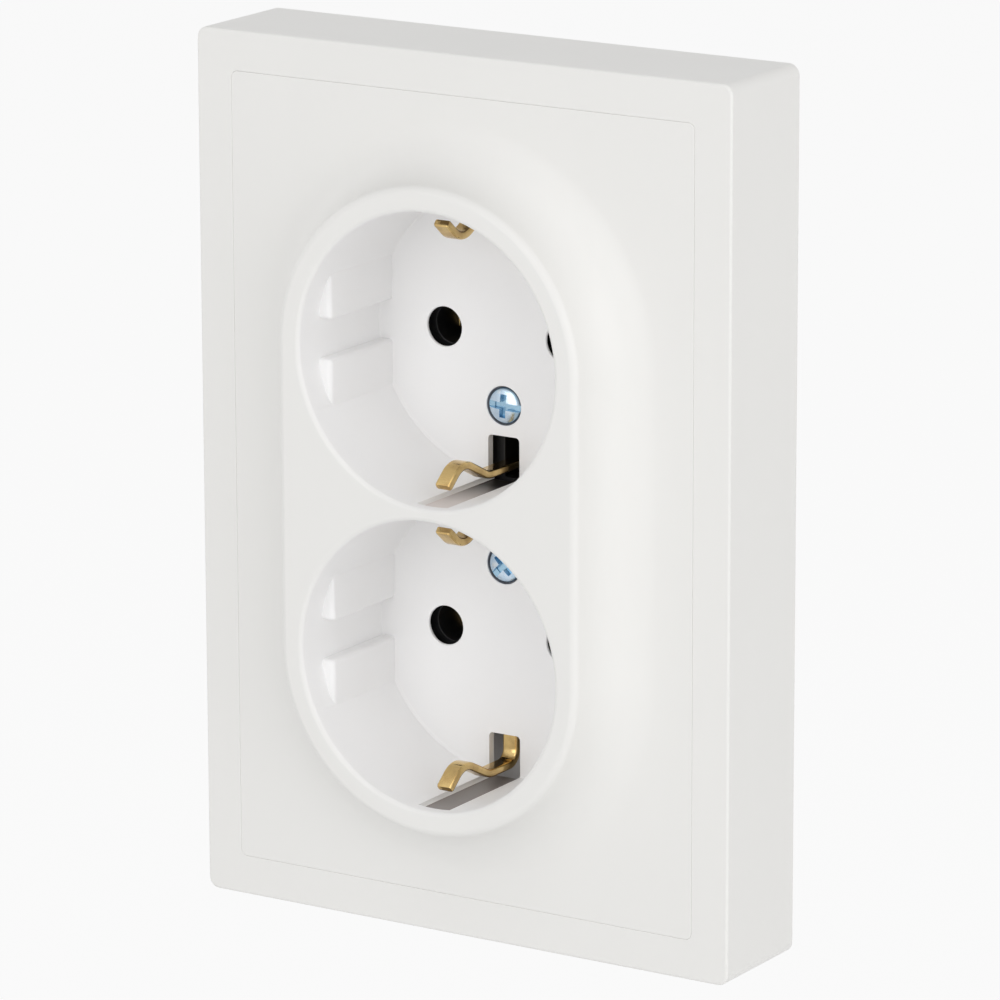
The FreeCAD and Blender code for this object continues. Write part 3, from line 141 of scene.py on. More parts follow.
class Graph:
    """The node tree of a material or a world, built through a single node method."""

    def __init__(self, owner: Union[bpy.types.Material, bpy.types.World]) -> None:
        """Start an empty tree.

        Args:
            owner: The new material or world that the tree belongs to.
        """
        self.owner = owner
        owner.use_nodes = True
        self.tree = owner.node_tree
        self.tree.nodes.clear()

    def node(self, kind: str, settings: dict[str, Any] | None = None,
             inputs: dict[Key, Any] | None = None) -> bpy.types.Node:
        """Add one node.

        Args:
            kind: The node's type name.
            settings: Properties that are set before the sockets.
            inputs: Numbers, colours or Values for the node's sockets.

        Returns:
            The new node.
        """
        made = self.tree.nodes.new(kind)
        for name, setting in (settings or {}).items():
            if name == "stops":
                self._set_stops(made, setting)
            else:
                setattr(made, name, setting)
        for name, value in (inputs or {}).items():
            if isinstance(value, Value):
                self.tree.links.new(value.socket, made.inputs[name])
            else:
                made.inputs[name].default_value = value
        return made

    @staticmethod
    def _set_stops(ramp: bpy.types.Node, stops: Sequence[tuple[float, Colour]]) -> None:
        """Fill a colour ramp with its stops.

        Args:
            ramp: The colour ramp's node.
            stops: Places from 0 to 1 with their colours.
        """
        elements = ramp.color_ramp.elements
        while len(elements) < len(stops):
            elements.new(0.5)
        for element, (place, colour) in zip(elements, stops):
            element.position = place
            element.color = (*colour, 1.0)

    def out(self, made: bpy.types.Node, name: Key = 0) -> Value:
        """Wrap one output of a node."""
        return Value(self, made.outputs[name])

    def place(self, stretch: Colour = (1.0, 1.0, 1.0)) -> Value:
        """Position on the object in metres, stretched along its axes.

        Args:
            stretch: Factors on the three axes.

        Returns:
            The position.
        """
        coordinates = self.node("ShaderNodeTexCoord")
        scaled = self.node("ShaderNodeVectorMath", {"operation": "MULTIPLY"},
                           {0: self.out(coordinates, "Object"), 1: stretch})
        return self.out(scaled)

    def axes(self) -> tuple[Value, Value, Value]:
        """The three coordinates on the object, in metres."""
        parts = self.node("ShaderNodeSeparateXYZ", None, {0: self.place()})
        return self.out(parts, 0), self.out(parts, 1), self.out(parts, 2)

    def seen(self) -> Value:
        """One where the camera looks, straight or by way of metal and glass, and nothing elsewhere.

        Returns:
            The value.
        """
        paths = self.node("ShaderNodeLightPath")
        shown = self.out(paths, "Is Camera Ray")
        for ray in ("Is Glossy Ray", "Is Transmission Ray"):
            shown = shown.most(self.out(paths, ray))
        return shown

    def noise(self, scale: float, detail: float = 2.0, stretch: Colour = (1.0, 1.0, 1.0)) -> Value:
        """Fractal noise between 0 and 1.

        Args:
            scale: Features per metre.
            detail: Number of finer octaves.
            stretch: Factors on the three axes.

        Returns:
            The noise value.
        """
        made = self.node("ShaderNodeTexNoise", {"normalize": True},
                         {"Vector": self.place(stretch), "Scale": scale, "Detail": detail})
        return self.out(made, "Fac")

    def remap(self, value: Value, low: float, high: float, start: float = 0.0, end: float = 1.0) -> Value:
        """Carry a value from one range to another, clamped.

        Args:
            value: The value to carry.
            low: Start of its range.
            high: End of its range.
            start: Result at the range's start.
            end: Result at its end.

        Returns:
            The result.
        """
        made = self.node("ShaderNodeMapRange", {"clamp": True},
                         {0: value, 1: low, 2: high, 3: start, 4: end})
        return self.out(made)

    def blend(self, factor: Number, first: Any, second: Any) -> Value:
        """Mix two colours by a factor.

        Args:
            factor: Share of the second colour.
            first: A colour or a Value.
            second: A colour or a Value.

        Returns:
            The mixed colour.
        """
        pair = [tone if isinstance(tone, Value) else (*tone, 1.0) for tone in (first, second)]
        made = self.node("ShaderNodeMix", {"data_type": "RGBA"}, {0: factor, 6: pair[0], 7: pair[1]})
        return self.out(made, 2)

    def bump(self, height: Value, strength: float, distance: float, under: Value | None = None) -> Value:
        """Turn a height into a normal.

        Args:
            height: The height value, from 0 to 1.
            strength: Share of the effect.
            distance: Height of one unit, in millimetres.
            under: A normal that this one is laid on.

        Returns:
            The normal.
        """
        inputs: dict[Key, Any] = {"Height": height, "Strength": strength, "Distance": distance * MM}
        if under is not None:
            inputs["Normal"] = under
        return self.out(self.node("ShaderNodeBump", None, inputs))

    def finish(self, **inputs: Any) -> bpy.types.Material:
        """Close the graph with one surface shader.

        Args:
            **inputs: Sockets of the surface shader, with underscores for spaces.

        Returns:
            The finished material.
        """
        named = {name.replace("_", " "): value for name, value in inputs.items()}
        surface = self.node("ShaderNodeBsdfPrincipled", None, named)
        self.node("ShaderNodeOutputMaterial", None, {"Surface": self.out(surface)})
        return self.owner


# Places and finishes


@dataclass(frozen=True)
class Recesses:
    """Sizes of the plug recesses that several pieces and the plate's plastic share."""

    pitch: float = 42.0
    pin_across: float = 9.5
    floor: float = 6.4
    floor_back: float = 5.2
    rim_front: float = 26.0
    cup_radius: float = 20.05
    screw_offset: float = 9.9
    screw_hole: float = 1.7
    seat_radius: float = 2.74
    seat_depth: float = 0.8
    slot_half: float = 2.5
    slot_start: float = 14.1
    slot_end: float = 20.6
    slot_front: float = 24.2

    @property
    def middle(self) -> float:
        """Height of the upper recess's middle."""
        return self.pitch / 2

    @property
    def screw_height(self) -> float:
        """Height of the upper cover screw."""
        return self.middle - self.screw_offset

    @property
    def seat(self) -> float:
        """Depth at which a cover screw's head sits."""
        return self.floor - self.seat_depth


@dataclass(frozen=True)
class MouldedPlastic:
    """Injection moulded plastic with a fine skin, faint flow and a little handling haze."""

    name: str
    colour: Colour
    roughness: float
    haze: float = 0.05
    skin: float = 0.05
    mottle: float = 0.012
    gloss: float = 0.5
    mottle_depth: float = 3.0
    flow_scale: float = 55.0
    flow_stretch: Colour = (1.0, 1.0, 0.35)
    flow_band: Point = (0.3, 0.7)
    haze_scale: float = 160.0
    grain_scale: float = 2600.0
    grain_height: float = 0.02
    swell_scale: float = 240.0
    swell_height: float = 0.06

    def make(self) -> bpy.types.Material:
        """Build the material.

        Returns:
            The finished material.
        """
        graph = Graph(bpy.data.materials.new(self.name))
        flow = graph.noise(self.flow_scale, 3.0, self.flow_stretch)
        deep = tuple(channel * (1.0 - self.mottle * self.mottle_depth) for channel in self.colour)
        light = tuple(min(1.0, channel * (1.0 + self.mottle)) for channel in self.colour)
        colour = self._tone(graph, graph.blend(graph.remap(flow, *self.flow_band), deep, light))
        rough = self.roughness + (graph.noise(self.haze_scale, 4.0) - 0.5) * self.haze
        swell = graph.bump(graph.noise(self.swell_scale, 1.0), self.skin, self.swell_height)
        normal = graph.bump(graph.noise(self.grain_scale, 2.0), self.skin, self.grain_height, swell)
        return graph.finish(Base_Color=colour, Roughness=rough, Normal=normal,
                            Specular_IOR_Level=self.gloss)

    def _tone(self, graph: Graph, colour: Value) -> Value:
        """Change the colour where a plastic has a tone of its own."""
        return colour


@dataclass(frozen=True)
class PaintedLightAndShadePlastic(MouldedPlastic):
    """The plate's plastic: a cooler white in the recesses, also made lighter there as painted light, and
    painted shade in the screw seats and the channels.

    An edge says how far past its line, in millimetres, a tone starts and ends.
    """

    # Partly painted light: the recesses get a cooler white, and a lighter one that brightens their shaded
    # walls and floors.
    recess: Colour = (0.98, 0.976, 0.976)
    wall_edge: Point = (0.15, 0.65)
    mouth_edge: Point = (0.2, -0.8)
    # Painted shade: a dark ring in each screw seat, in the gap round the screw's head.
    seat: Colour = (0.3, 0.3, 0.33)
    seat_edge: Point = (0.02, 0.12)
    floor_edge: Point = (-0.1, -0.2)
    # Painted shade: a dark grey-brown on the bottoms of the outer channels. The side and end edges bound
    # the channels for this shade and for the shade between the recesses.
    channel_shade: Colour = (0.29, 0.262, 0.25)
    channel_shade_edge: Point = (-0.1, 0.3)
    side_edge: float = 0.06
    end_edge: Point = (0.05, -0.2)
    # Painted shade in the channel between the recesses: grey near the front, fading to nearly black deep
    # inside, between two depths.
    waist_shade_edge: float = 0.1
    front: Colour = (0.8, 0.74, 0.72)
    rear: Colour = (0.03, 0.026, 0.024)
    channel_shade_depths: Point = (18.5, 8.5)

    def _tone(self, graph: Graph, colour: Value) -> Value:
        """Paint light into the recesses and paint shade into the screw seats and the channels.

        Args:
            graph: The graph that is being built.
            colour: The plastic's colour.

        Returns:
            The colour with its tones.
        """
        shared = Recesses()
        across, along, up = graph.axes()
        height = abs(up)

        def disc(middle: float, radius: float, edge: Point) -> Value:
            """One inside a circle about a height in both recesses.

            Args:
                middle: Height of the circle's middle.
                radius: Its radius.
                edge: Where the tone starts and ends past the circle.

            Returns:
                The value.
            """
            away = height - middle * MM
            inner, outer = (((radius + past) * MM) ** 2 for past in edge)
            return graph.remap(across * across + away * away, inner, outer, 1.0, 0.0)

        def behind(depth: float, edge: Point) -> Value:
            """One behind a depth."""
            return graph.remap(along, -(depth + edge[0]) * MM, -(depth + edge[1]) * MM)

        # Painted light: a lighter, cooler white inside each recess, behind its mouth.
        inside = disc(shared.middle, shared.cup_radius, self.wall_edge)
        colour = graph.blend(inside * behind(shared.rim_front, self.mouth_edge), colour, self.recess)
        # Painted shade in the gap of each screw seat.
        seat = disc(shared.screw_height, shared.seat_radius, self.seat_edge)
        colour = graph.blend(seat * behind(shared.floor, self.floor_edge), colour, self.seat)
        # Painted shade on the bottoms of the outer channels.
        half = (shared.slot_half + self.side_edge) * MM
        channel = across.within(-half, half) * along.within(-(shared.slot_front + self.end_edge[0]) * MM,
                                                            -(shared.floor_back + self.end_edge[1]) * MM)
        low, high = ((shared.middle + shared.slot_end + past) * MM for past in self.channel_shade_edge)
        colour = graph.blend(channel * height.within(low, high), colour, self.channel_shade)
        # Painted shade in the channel between the recesses, darker the deeper it lies.
        waist = (shared.middle - shared.slot_end + self.waist_shade_edge) * MM
        tone = graph.blend(behind(0.0, self.channel_shade_depths), self.front, self.rear)
        return graph.blend(channel * height.within(-waist, waist), colour, tone)


@dataclass(frozen=True)
class RolledMetal:
    """Sheet or drawn metal with rolling lines, dull patches and fine scratches."""

    name: str
    colour: Colour
    tarnish: Colour
    roughness: float
    patches: float = 0.35
    patch_scale: float = 420.0
    patch_band: Point = (0.42, 0.72)
    patch_haze: float = 0.12
    lines: Colour = (1.0, 1.0, 0.06)
    line_scale: float = 5200.0
    line_haze: float = 0.16
    scratch: float = 0.12
    scratch_height: float = 0.03
    swell: float = 0.1
    swell_scale: float = 900.0
    swell_height: float = 0.08

    def make(self) -> bpy.types.Material:
        """Build the material.

        Returns:
            The finished material.
        """
        graph = Graph(bpy.data.materials.new(self.name))
        patch = graph.remap(graph.noise(self.patch_scale, 5.0), *self.patch_band)
        rolled = graph.noise(self.line_scale, 2.0, self.lines)
        colour = graph.blend(patch * self.patches, self.colour, self.tarnish)
        rough = self.roughness + patch * self.patch_haze + (rolled - 0.5) * self.line_haze
        swell = graph.bump(graph.noise(self.swell_scale, 2.0), self.swell, self.swell_height)
        normal = graph.bump(rolled, self.scratch, self.scratch_height, swell)
        return graph.finish(Base_Color=colour, Metallic=1.0, Roughness=rough, Normal=normal)


@dataclass(frozen=True)
class ZincPlate:
    """Bright zinc plating with a thin passivated film that shifts from blue to straw.

    A crown is the depth of a screw's lower crown edge, behind which its slot, its cross recess and the
    foot of its head get a darker blue as painted shade.
    """

    name: str
    roughness: float
    crown: float = 0.0
    crown_edge: Point = (-0.2, -0.7)
    # Painted shade: a darker blue in the screw's slot, cross recess and the foot of its head.
    hollow: Colour = (0.34, 0.52, 0.66)
    film_scale: float = 330.0
    spangle_scale: float = 2400.0
    spangle_haze: float = 0.14
    spangle: float = 0.06
    spangle_height: float = 0.04

    FILM = ((0.3, (0.40, 0.56, 0.70)), (0.48, (0.60, 0.70, 0.80)),
            (0.6, (0.50, 0.63, 0.76)), (0.75, (0.70, 0.71, 0.70)))

    def make(self) -> bpy.types.Material:
        """Build the material.

        Returns:
            The finished material.
        """
        graph = Graph(bpy.data.materials.new(self.name))
        film = graph.noise(self.film_scale, 3.0)
        tint = graph.out(graph.node("ShaderNodeValToRGB", {"stops": self.FILM}, {0: film}))
        # Painted shade behind the crown's depth.
        if self.crown:
            start, end = (-(self.crown + past) * MM for past in self.crown_edge)
            tint = graph.blend(graph.remap(graph.axes()[1], start, end), tint, self.hollow)
        spangle = graph.noise(self.spangle_scale, 3.0)
        rough = self.roughness + (spangle - 0.5) * self.spangle_haze
        normal = graph.bump(spangle, self.spangle, self.spangle_height)
        return graph.finish(Base_Color=tint, Metallic=1.0, Roughness=rough, Normal=normal)


class Finish(Enum):
    """Finishes of the socket, by the slot names of the record."""

    WHITE = PaintedLightAndShadePlastic("white_plastic", (0.885, 0.878, 0.857), 0.38,
                              haze=0.06, skin=0.04, mottle=0.003, gloss=0.35)
    BLACK = MouldedPlastic("black_plastic", (0.012, 0.012, 0.013), 0.42, haze=0.12, skin=0.12, mottle=0.06)
    GREY = MouldedPlastic("grey_plastic", (0.40, 0.41, 0.42), 0.4, skin=0.1)
    GREEN = MouldedPlastic("green_plastic", (0.05, 0.33, 0.09), 0.4, skin=0.1)
    BRASS = RolledMetal("contact_brass", (0.68, 0.49, 0.21), (0.30, 0.16, 0.05), 0.13, patches=0.56)
    RIVET = RolledMetal("rivet_brass", (0.70, 0.55, 0.30), (0.45, 0.32, 0.16), 0.32)
    SPRING = RolledMetal("spring_steel", (0.56, 0.56, 0.57), (0.42, 0.41, 0.40), 0.26)
    ZINC = ZincPlate("zinc_plated_steel", 0.2)
    BLUE_ZINC = ZincPlate("zinc_plated_steel", 0.23, crown=6.7)
    SHEET = RolledMetal("galvanised_sheet", (0.64, 0.62, 0.62), (0.5, 0.49, 0.49), 0.5, patches=0.2)


class Wardrobe:
    """Makes each finish once and hands it out."""

    def __init__(self) -> None:
        """Start with no material made."""
        self._made: dict[Finish, bpy.types.Material] = {}

    def dress(self, piece: bpy.types.Object, finish: Finish) -> None:
        """Give a piece one finish all over, made at its first use.

        Args:
            piece: The piece.
            finish: Its finish.
        """
        if finish not in self._made:
            self._made[finish] = finish.value.make()
        if not piece.material_slots:
            piece.data.materials.append(self._made[finish])
        for slot in piece.material_slots:
            slot.material = self._made[finish]


# Outlines


def arc(centre: Point, radius: float, start: float, end: float, steps: int) -> Loop:
    """Points along an arc between two angles in degrees, both ends included."""
    turns = (math.radians(start + (end - start) * step / steps) for step in range(steps + 1))
    return [(centre[0] + radius * math.cos(turn), centre[1] + radius * math.sin(turn)) for turn in turns]


class Outline(Protocol):
    """A closed line in the front plane that can be grown by a distance."""

    def loop(self, grow: float = 0.0) -> Loop:
        """Points of the line, grown outwards."""


@dataclass(frozen=True)
class Disc:
    """A circle."""

    x: float
    z: float
    radius: float
    steps: int = 64

    def loop(self, grow: float = 0.0) -> Loop:
        """Points of the circle."""
        return arc((self.x, self.z), self.radius + grow, 0, 360, self.steps)[:-1]


@dataclass(frozen=True)
class Stadium:
    """Two half circles above each other, joined by straight sides."""

    radius: float
    half_pitch: float
    steps: int = 80

    def loop(self, grow: float = 0.0) -> Loop:
        """Points of the stadium.

        Args:
            grow: Distance by which the line is grown.

        Returns:
            The points.
        """
        radius = self.radius + grow
        upper = arc((0.0, self.half_pitch), radius, 0, 180, self.steps)
        return upper + arc((0.0, -self.half_pitch), radius, 180, 360, self.steps)


@dataclass(frozen=True)
class RoundBox:
    """A rectangle with round corners."""

    left: float
    low: float
    right: float
    high: float
    corner: float = 0.0
    steps: int = 8

    @classmethod
    def centred(cls, half_width: float, half_height: float, corner: float = 0.0,
                steps: int = 8) -> RoundBox:
        """A rectangle about the middle."""
        return cls(-half_width, -half_height, half_width, half_height, corner, steps)

    def loop(self, grow: float = 0.0) -> Loop:
        """Points of the rectangle, from its upper right corner anticlockwise.

        Args:
            grow: Distance by which the line is grown.

        Returns:
            The points.
        """
        radius = max(self.corner + grow, 0.001)
        corners = ((self.right, self.high), (self.left, self.high),
                   (self.left, self.low), (self.right, self.low))
        points: Loop = []
        for quarter, (x, z) in enumerate(corners):
            side = 1 if quarter in (0, 3) else -1
            up = 1 if quarter < 2 else -1
            if self.corner:
                middle = (x + (grow - radius) * side, z + (grow - radius) * up)
                points += arc(middle, radius, 90 * quarter, 90 * quarter + 90, self.steps)
            else:
                points.append((x + grow * side, z + grow * up))
        return points


@dataclass(frozen=True)
class GuideLand:
    """One of the four raised lands at the sides of a plug recess, in its quarter."""

    z: float
    radius: float
    across: float
    up: float
    right: int
    upper: int
    corner: float = 0.5
    steps: int = 6
    outer_steps: int = 12

    def loop(self, grow: float = 0.0) -> Loop:
        """Points of the land, from the end of its level side.

        Args:
            grow: Distance by which the line is grown.

        Returns:
            The points.
        """
        across, up, radius = self.across - grow, self.up - grow, self.radius + grow
        corner = max(self.corner + grow, 0.01)
        start, end = math.degrees(math.asin(up / radius)), math.degrees(math.acos(across / radius))
        points = arc((0.0, 0.0), radius, start, end, self.outer_steps)
        points += arc((across + corner, up + corner), corner, 180, 270, self.steps)
        return [(x * self.right, self.z + z * self.upper) for x, z in points]


def bent(points: Sequence[tuple[float, ...]], steps: int = 14) -> Loop:
    """A line through points whose corners are rounded by the radius that each gives.

    Args:
        points: Points as (across, up) or (across, up, radius).
        steps: Chords of each bend.

    Returns:
        The rounded line.
    """
    line: Loop = []
    for index, point in enumerate(points):
        corner = Vector(point[:2])
        if len(point) < 3:
            line.append(tuple(corner))
            continue
        into = (corner - Vector(points[index - 1][:2])).normalized()
        leave = (Vector(points[index + 1][:2]) - corner).normalized()
        turn = into.angle_signed(leave)
        side = -1.0 if turn > 0 else 1.0
        reach = corner - into * point[2] * math.tan(abs(turn) / 2)
        centre = reach + Vector((-into.y, into.x)) * side * point[2]
        for step in range(steps + 1):
            spin = Matrix.Rotation(abs(turn) * side * step / steps, 2)
            line.append(tuple(centre + spin @ (reach - centre)))
    return line


# Meshes


def link(name: str, data: Any) -> bpy.types.Object:
    """Make an object from its data and put it in the scene.

    Args:
        name: Name of the object.
        data: Its mesh, light or camera.

    Returns:
        The object.
    """
    made = bpy.data.objects.new(name, data)
    bpy.context.scene.collection.objects.link(made)
    return made


def placed(name: str, shape: bmesh.types.BMesh) -> bpy.types.Object:
    """Turn a bmesh into an object in the scene.

    Args:
        name: Name of the object and its mesh.
        shape: The bmesh, which is freed.

    Returns:
        The object.
    """
    mesh = bpy.data.meshes.new(name)
    shape.to_mesh(mesh)
    shape.free()
    return link(name, mesh)


class Carving:
    """A closed mesh that is grown and cut by boolean steps."""

    # Angle from which an edge stays sharp, and the distance in millimetres under which points join.
    SHARP = math.radians(32)
    MERGE = 0.0001

    def __init__(self, name: str) -> None:
        """Start with no mesh, under the name of the piece."""
        self.name = name
        self.piece: bpy.types.Object | None = None

    def _take(self, shape: bmesh.types.BMesh, label: str) -> bpy.types.Object:
        """Turn a closed bmesh into an object with its faces outwards.

        Args:
            shape: The closed bmesh.
            label: Name of the object.

        Returns:
            The object.
        """
        bmesh.ops.remove_doubles(shape, verts=shape.verts, dist=self.MERGE * MM)
        bmesh.ops.recalc_face_normals(shape, faces=shape.faces)
        return placed(label, shape)

    def _combine(self, tool: bpy.types.Object, operation: str) -> None:
        """Apply one boolean step and drop its tool.

        Args:
            tool: The object that is united or cut out.
            operation: Kind of the boolean step.
        """
        if self.piece is None:
            tool.name = tool.data.name = self.name
            self.piece = tool
            return
        step = self.piece.modifiers.new("step", "BOOLEAN")
        step.operation, step.solver, step.object = operation, "EXACT", tool
        graph = bpy.context.evaluated_depsgraph_get()
        mesh = bpy.data.meshes.new_from_object(self.piece.evaluated_get(graph))
        old, spent = self.piece.data, tool.data
        self.piece.modifiers.clear()
        self.piece.data = mesh
        mesh.name = self.name
        bpy.data.objects.remove(tool)
        bpy.data.meshes.remove(old)
        bpy.data.meshes.remove(spent)

    def add(self, *shapes: bmesh.types.BMesh) -> None:
        """Unite shapes with the piece."""
        for shape in shapes:
            self._combine(self._take(shape, self.name + "_add"), "UNION")

    def cut(self, *shapes: bmesh.types.BMesh) -> None:
        """Take shapes out of the piece."""
        for shape in shapes:
            self._combine(self._take(shape, self.name + "_cut"), "DIFFERENCE")

    def done(self, clean: float = 0.0) -> bpy.types.Object:
        """Smooth the piece's curves, keep its edges sharp and return it.

        Args:
            clean: Distance in millimetres under which neighbouring points are joined.

        Returns:
            The finished object.
        """
        mesh = self.piece.data
        if clean:
            shape = bmesh.new()
            shape.from_mesh(mesh)
            bmesh.ops.remove_doubles(shape, verts=shape.verts, dist=clean * MM)
            bmesh.ops.dissolve_degenerate(shape, edges=shape.edges, dist=clean * MM)
            shape.to_mesh(mesh)
            shape.free()
        mesh.polygons.foreach_set("use_smooth", [True] * len(mesh.polygons))
        mesh.set_sharp_from_angle(angle=self.SHARP)
        weight = self.piece.modifiers.new("even_shading", "WEIGHTED_NORMAL")
        weight.mode, weight.weight, weight.keep_sharp = "FACE_AREA", 50, True
        return self.piece


def spot(x: float, depth: float, z: float) -> Vector:
    """A point in metres from its place across, its depth and its height in millimetres."""
    return Vector((x, -depth, z)) * MM


def span(shape: bmesh.types.BMesh, loops: Sequence[list[bmesh.types.BMVert]]) -> None:
    """Lay faces between neighbouring loops of the same number of points.

    Args:
        shape: The bmesh that holds the points.
        loops: The loops, from one end to the other.
    """
    for low, high in zip(loops, loops[1:]):
        for index in range(len(low)):
            after = (index + 1) % len(low)
            shape.faces.new((low[index], low[after], high[after], high[index]))


def solid(loops: Iterable[Iterable[Vector]]) -> bmesh.types.BMesh:
    """A closed solid through loops of the same number of points.

    Args:
        loops: Points of each loop in metres, from one end to the other.

    Returns:
        The solid.
    """
    shape = bmesh.new()
    made = [[shape.verts.new(point) for point in loop] for loop in loops]
    span(shape, made)
    shape.faces.new(made[0])
    shape.faces.new(made[-1])
    return shape


def loft(rings: Iterable[Ring]) -> bmesh.types.BMesh:
    """A closed solid through loops with their depths, from one end to the other."""
    return solid([spot(x, depth, z) for x, z in loop] for loop, depth in rings)


def swept(outline: Outline, centre: Point, radius: float, start: float, end: float,
          steps: int) -> list[Ring]:
    """Rings of an outline that grows and moves along an arc of (growth, depth)."""
    return [(outline.loop(grow), depth) for grow, depth in arc(centre, radius, start, end, steps)]


def block(outline: Outline, back: float, front: float, front_round: float = 0.0,
          back_round: float = 0.0, steps: int = 4) -> bmesh.types.BMesh:
    """A straight solid whose front and back edges can be rounded.

    Args:
        outline: Its outline.
        back: Depth of its back face.
        front: Depth of its front face.
        front_round: Radius of the edge round the front face.
        back_round: Radius of the edge round the back face.
        steps: Chords of each round.

    Returns:
        The solid.
    """
    rings = [(outline.loop(), back)]
    if back_round:
        rings = swept(outline, (-back_round, back + back_round), back_round, 270, 360, steps)
    if front_round:
        rings += swept(outline, (-front_round, front - front_round), front_round, 0, 90, steps)
    else:
        rings.append((outline.loop(), front))
    return loft(rings)


def turned(x: float, z: float, profile: Sequence[Point], steps: int = 64) -> bmesh.types.BMesh:
    """A solid turned about a line that runs along the depth.

    Args:
        x: The line's place across.
        z: Its height.
        profile: Points as (radius, depth) from one end to the other.
        steps: Chords of each circle.

    Returns:
        The solid.
    """
    return loft((Disc(x, z, radius, steps).loop(), depth) for radius, depth in profile)


def strip(line: Sequence[Point], width: float, thickness: float, edge: float) -> bmesh.types.BMesh:
    """A flat strip with soft edges, bent along a line in the upright plane across the wall.

    Args:
        line: Points as (depth, height).
        width: Width of the strip.
        thickness: Thickness of the strip.
        edge: Radius of its long edges and ends.

    Returns:
        The solid.
    """
    section = RoundBox.centred(width / 2, thickness / 2, edge, 3)
    points = [Vector(point) for point in line]
    stations = []
    for index, point in enumerate(points):
        before = points[max(index - 1, 0)]
        after = points[min(index + 1, len(points) - 1)]
        stations.append((point, (after - before).normalized(), 0.0))
    (first, start, _), (last, stop, _) = stations[0], stations[-1]
    rounding = ((0.0, 1.0), (0.3, 0.3), (1.0, 0.0))
    head = [(first + start * edge * inward, start, -edge * less) for inward, less in rounding]
    tail = [(last - stop * edge * inward, stop, -edge * less) for inward, less in reversed(rounding)]
    loops = []
    for place, along, grow in (*head, *stations[1:-1], *tail):
        normal = Vector((-along.y, along.x))
        loops.append([spot(across, *(place + normal * off)) for across, off in section.loop(grow)])
    return solid(loops)


# The socket's pieces


@dataclass
class CoverFrame:
    """The deep frame round the plate, open at the back, with a rebate for the plate."""

    half_width: float = 42.0
    half_height: float = 61.0
    depth: float = 17.5
    wall: float = 2.2
    corner: float = 1.6
    arris: float = 0.4
    back_arris: float = 0.12
    inner_corner: float = 0.5
    inner_round: float = 0.3
    bezel: float = 5.6
    rebate: float = 2.2
    ledge_width: float = 2.0
    ledge: float = 1.6
    ledge_corner: float = 0.4
    gusset: float = 1.0
    gusset_reach: float = 3.0
    gusset_drop: float = 9.0
    gusset_spacing: float = 34.0
    plate_corner: float = 0.95
    seam_round: float = 0.1

    def build(self) -> bpy.types.Object:
        """Build the frame's mesh.

        Returns:
            The finished object.
        """
        frame = Carving("cover_frame_shell")
        width, height = self.half_width, self.half_height
        outside = RoundBox.centred(width, height, self.corner, 10)
        frame.add(block(outside, 0.0, self.depth, self.arris, self.back_arris, 6))
        back = self.depth - self.rebate - self.ledge
        inner = RoundBox.centred(width - self.wall, height - self.wall, self.inner_corner, 4)
        frame.cut(block(inner, -PAST, back, self.inner_round))
        width, height = width - self.bezel, height - self.bezel
        way = RoundBox.centred(width - self.ledge_width, height - self.ledge_width, self.ledge_corner, 4)
        frame.cut(block(way, back - PAST, self.depth + PAST))
        frame.cut(self._rebate(width, height))
        frame.add(*self._gussets(back))
        return frame.done()

    def _rebate(self, width: float, height: float) -> bmesh.types.BMesh:
        """The rebate, with the soft edge that it leaves on the frame's face.

        Args:
            width: Half the width of the frame's opening.
            height: Half its height.

        Returns:
            The solid to cut out.
        """
        outline = RoundBox.centred(width, height, self.plate_corner, 8)
        soft = self.seam_round
        return loft([(outline.loop(), self.depth - self.rebate),
                     *swept(outline, (soft, self.depth - soft), soft, 180, 90, 4),
                     (outline.loop(soft), self.depth + PAST)])

    def _gussets(self, back: float) -> Iterable[bmesh.types.BMesh]:
        """Small stiffening webs between the side walls and the ledge.

        Args:
            back: Depth of the ledge's back face.

        Returns:
            The webs.
        """
        inside = self.half_width - self.wall + SUNK
        half = self.gusset / 2
        for side in SIDES:
            loop = [(inside * side, back + SUNK), ((inside - self.gusset_reach) * side, back + SUNK),
                    (inside * side, back - self.gusset_drop)]
            for row in (-1, 0, 1):
                middle = row * self.gusset_spacing
                ends = (middle - half, middle + half)
                yield solid([spot(x, depth, z) for x, depth in loop] for z in ends)


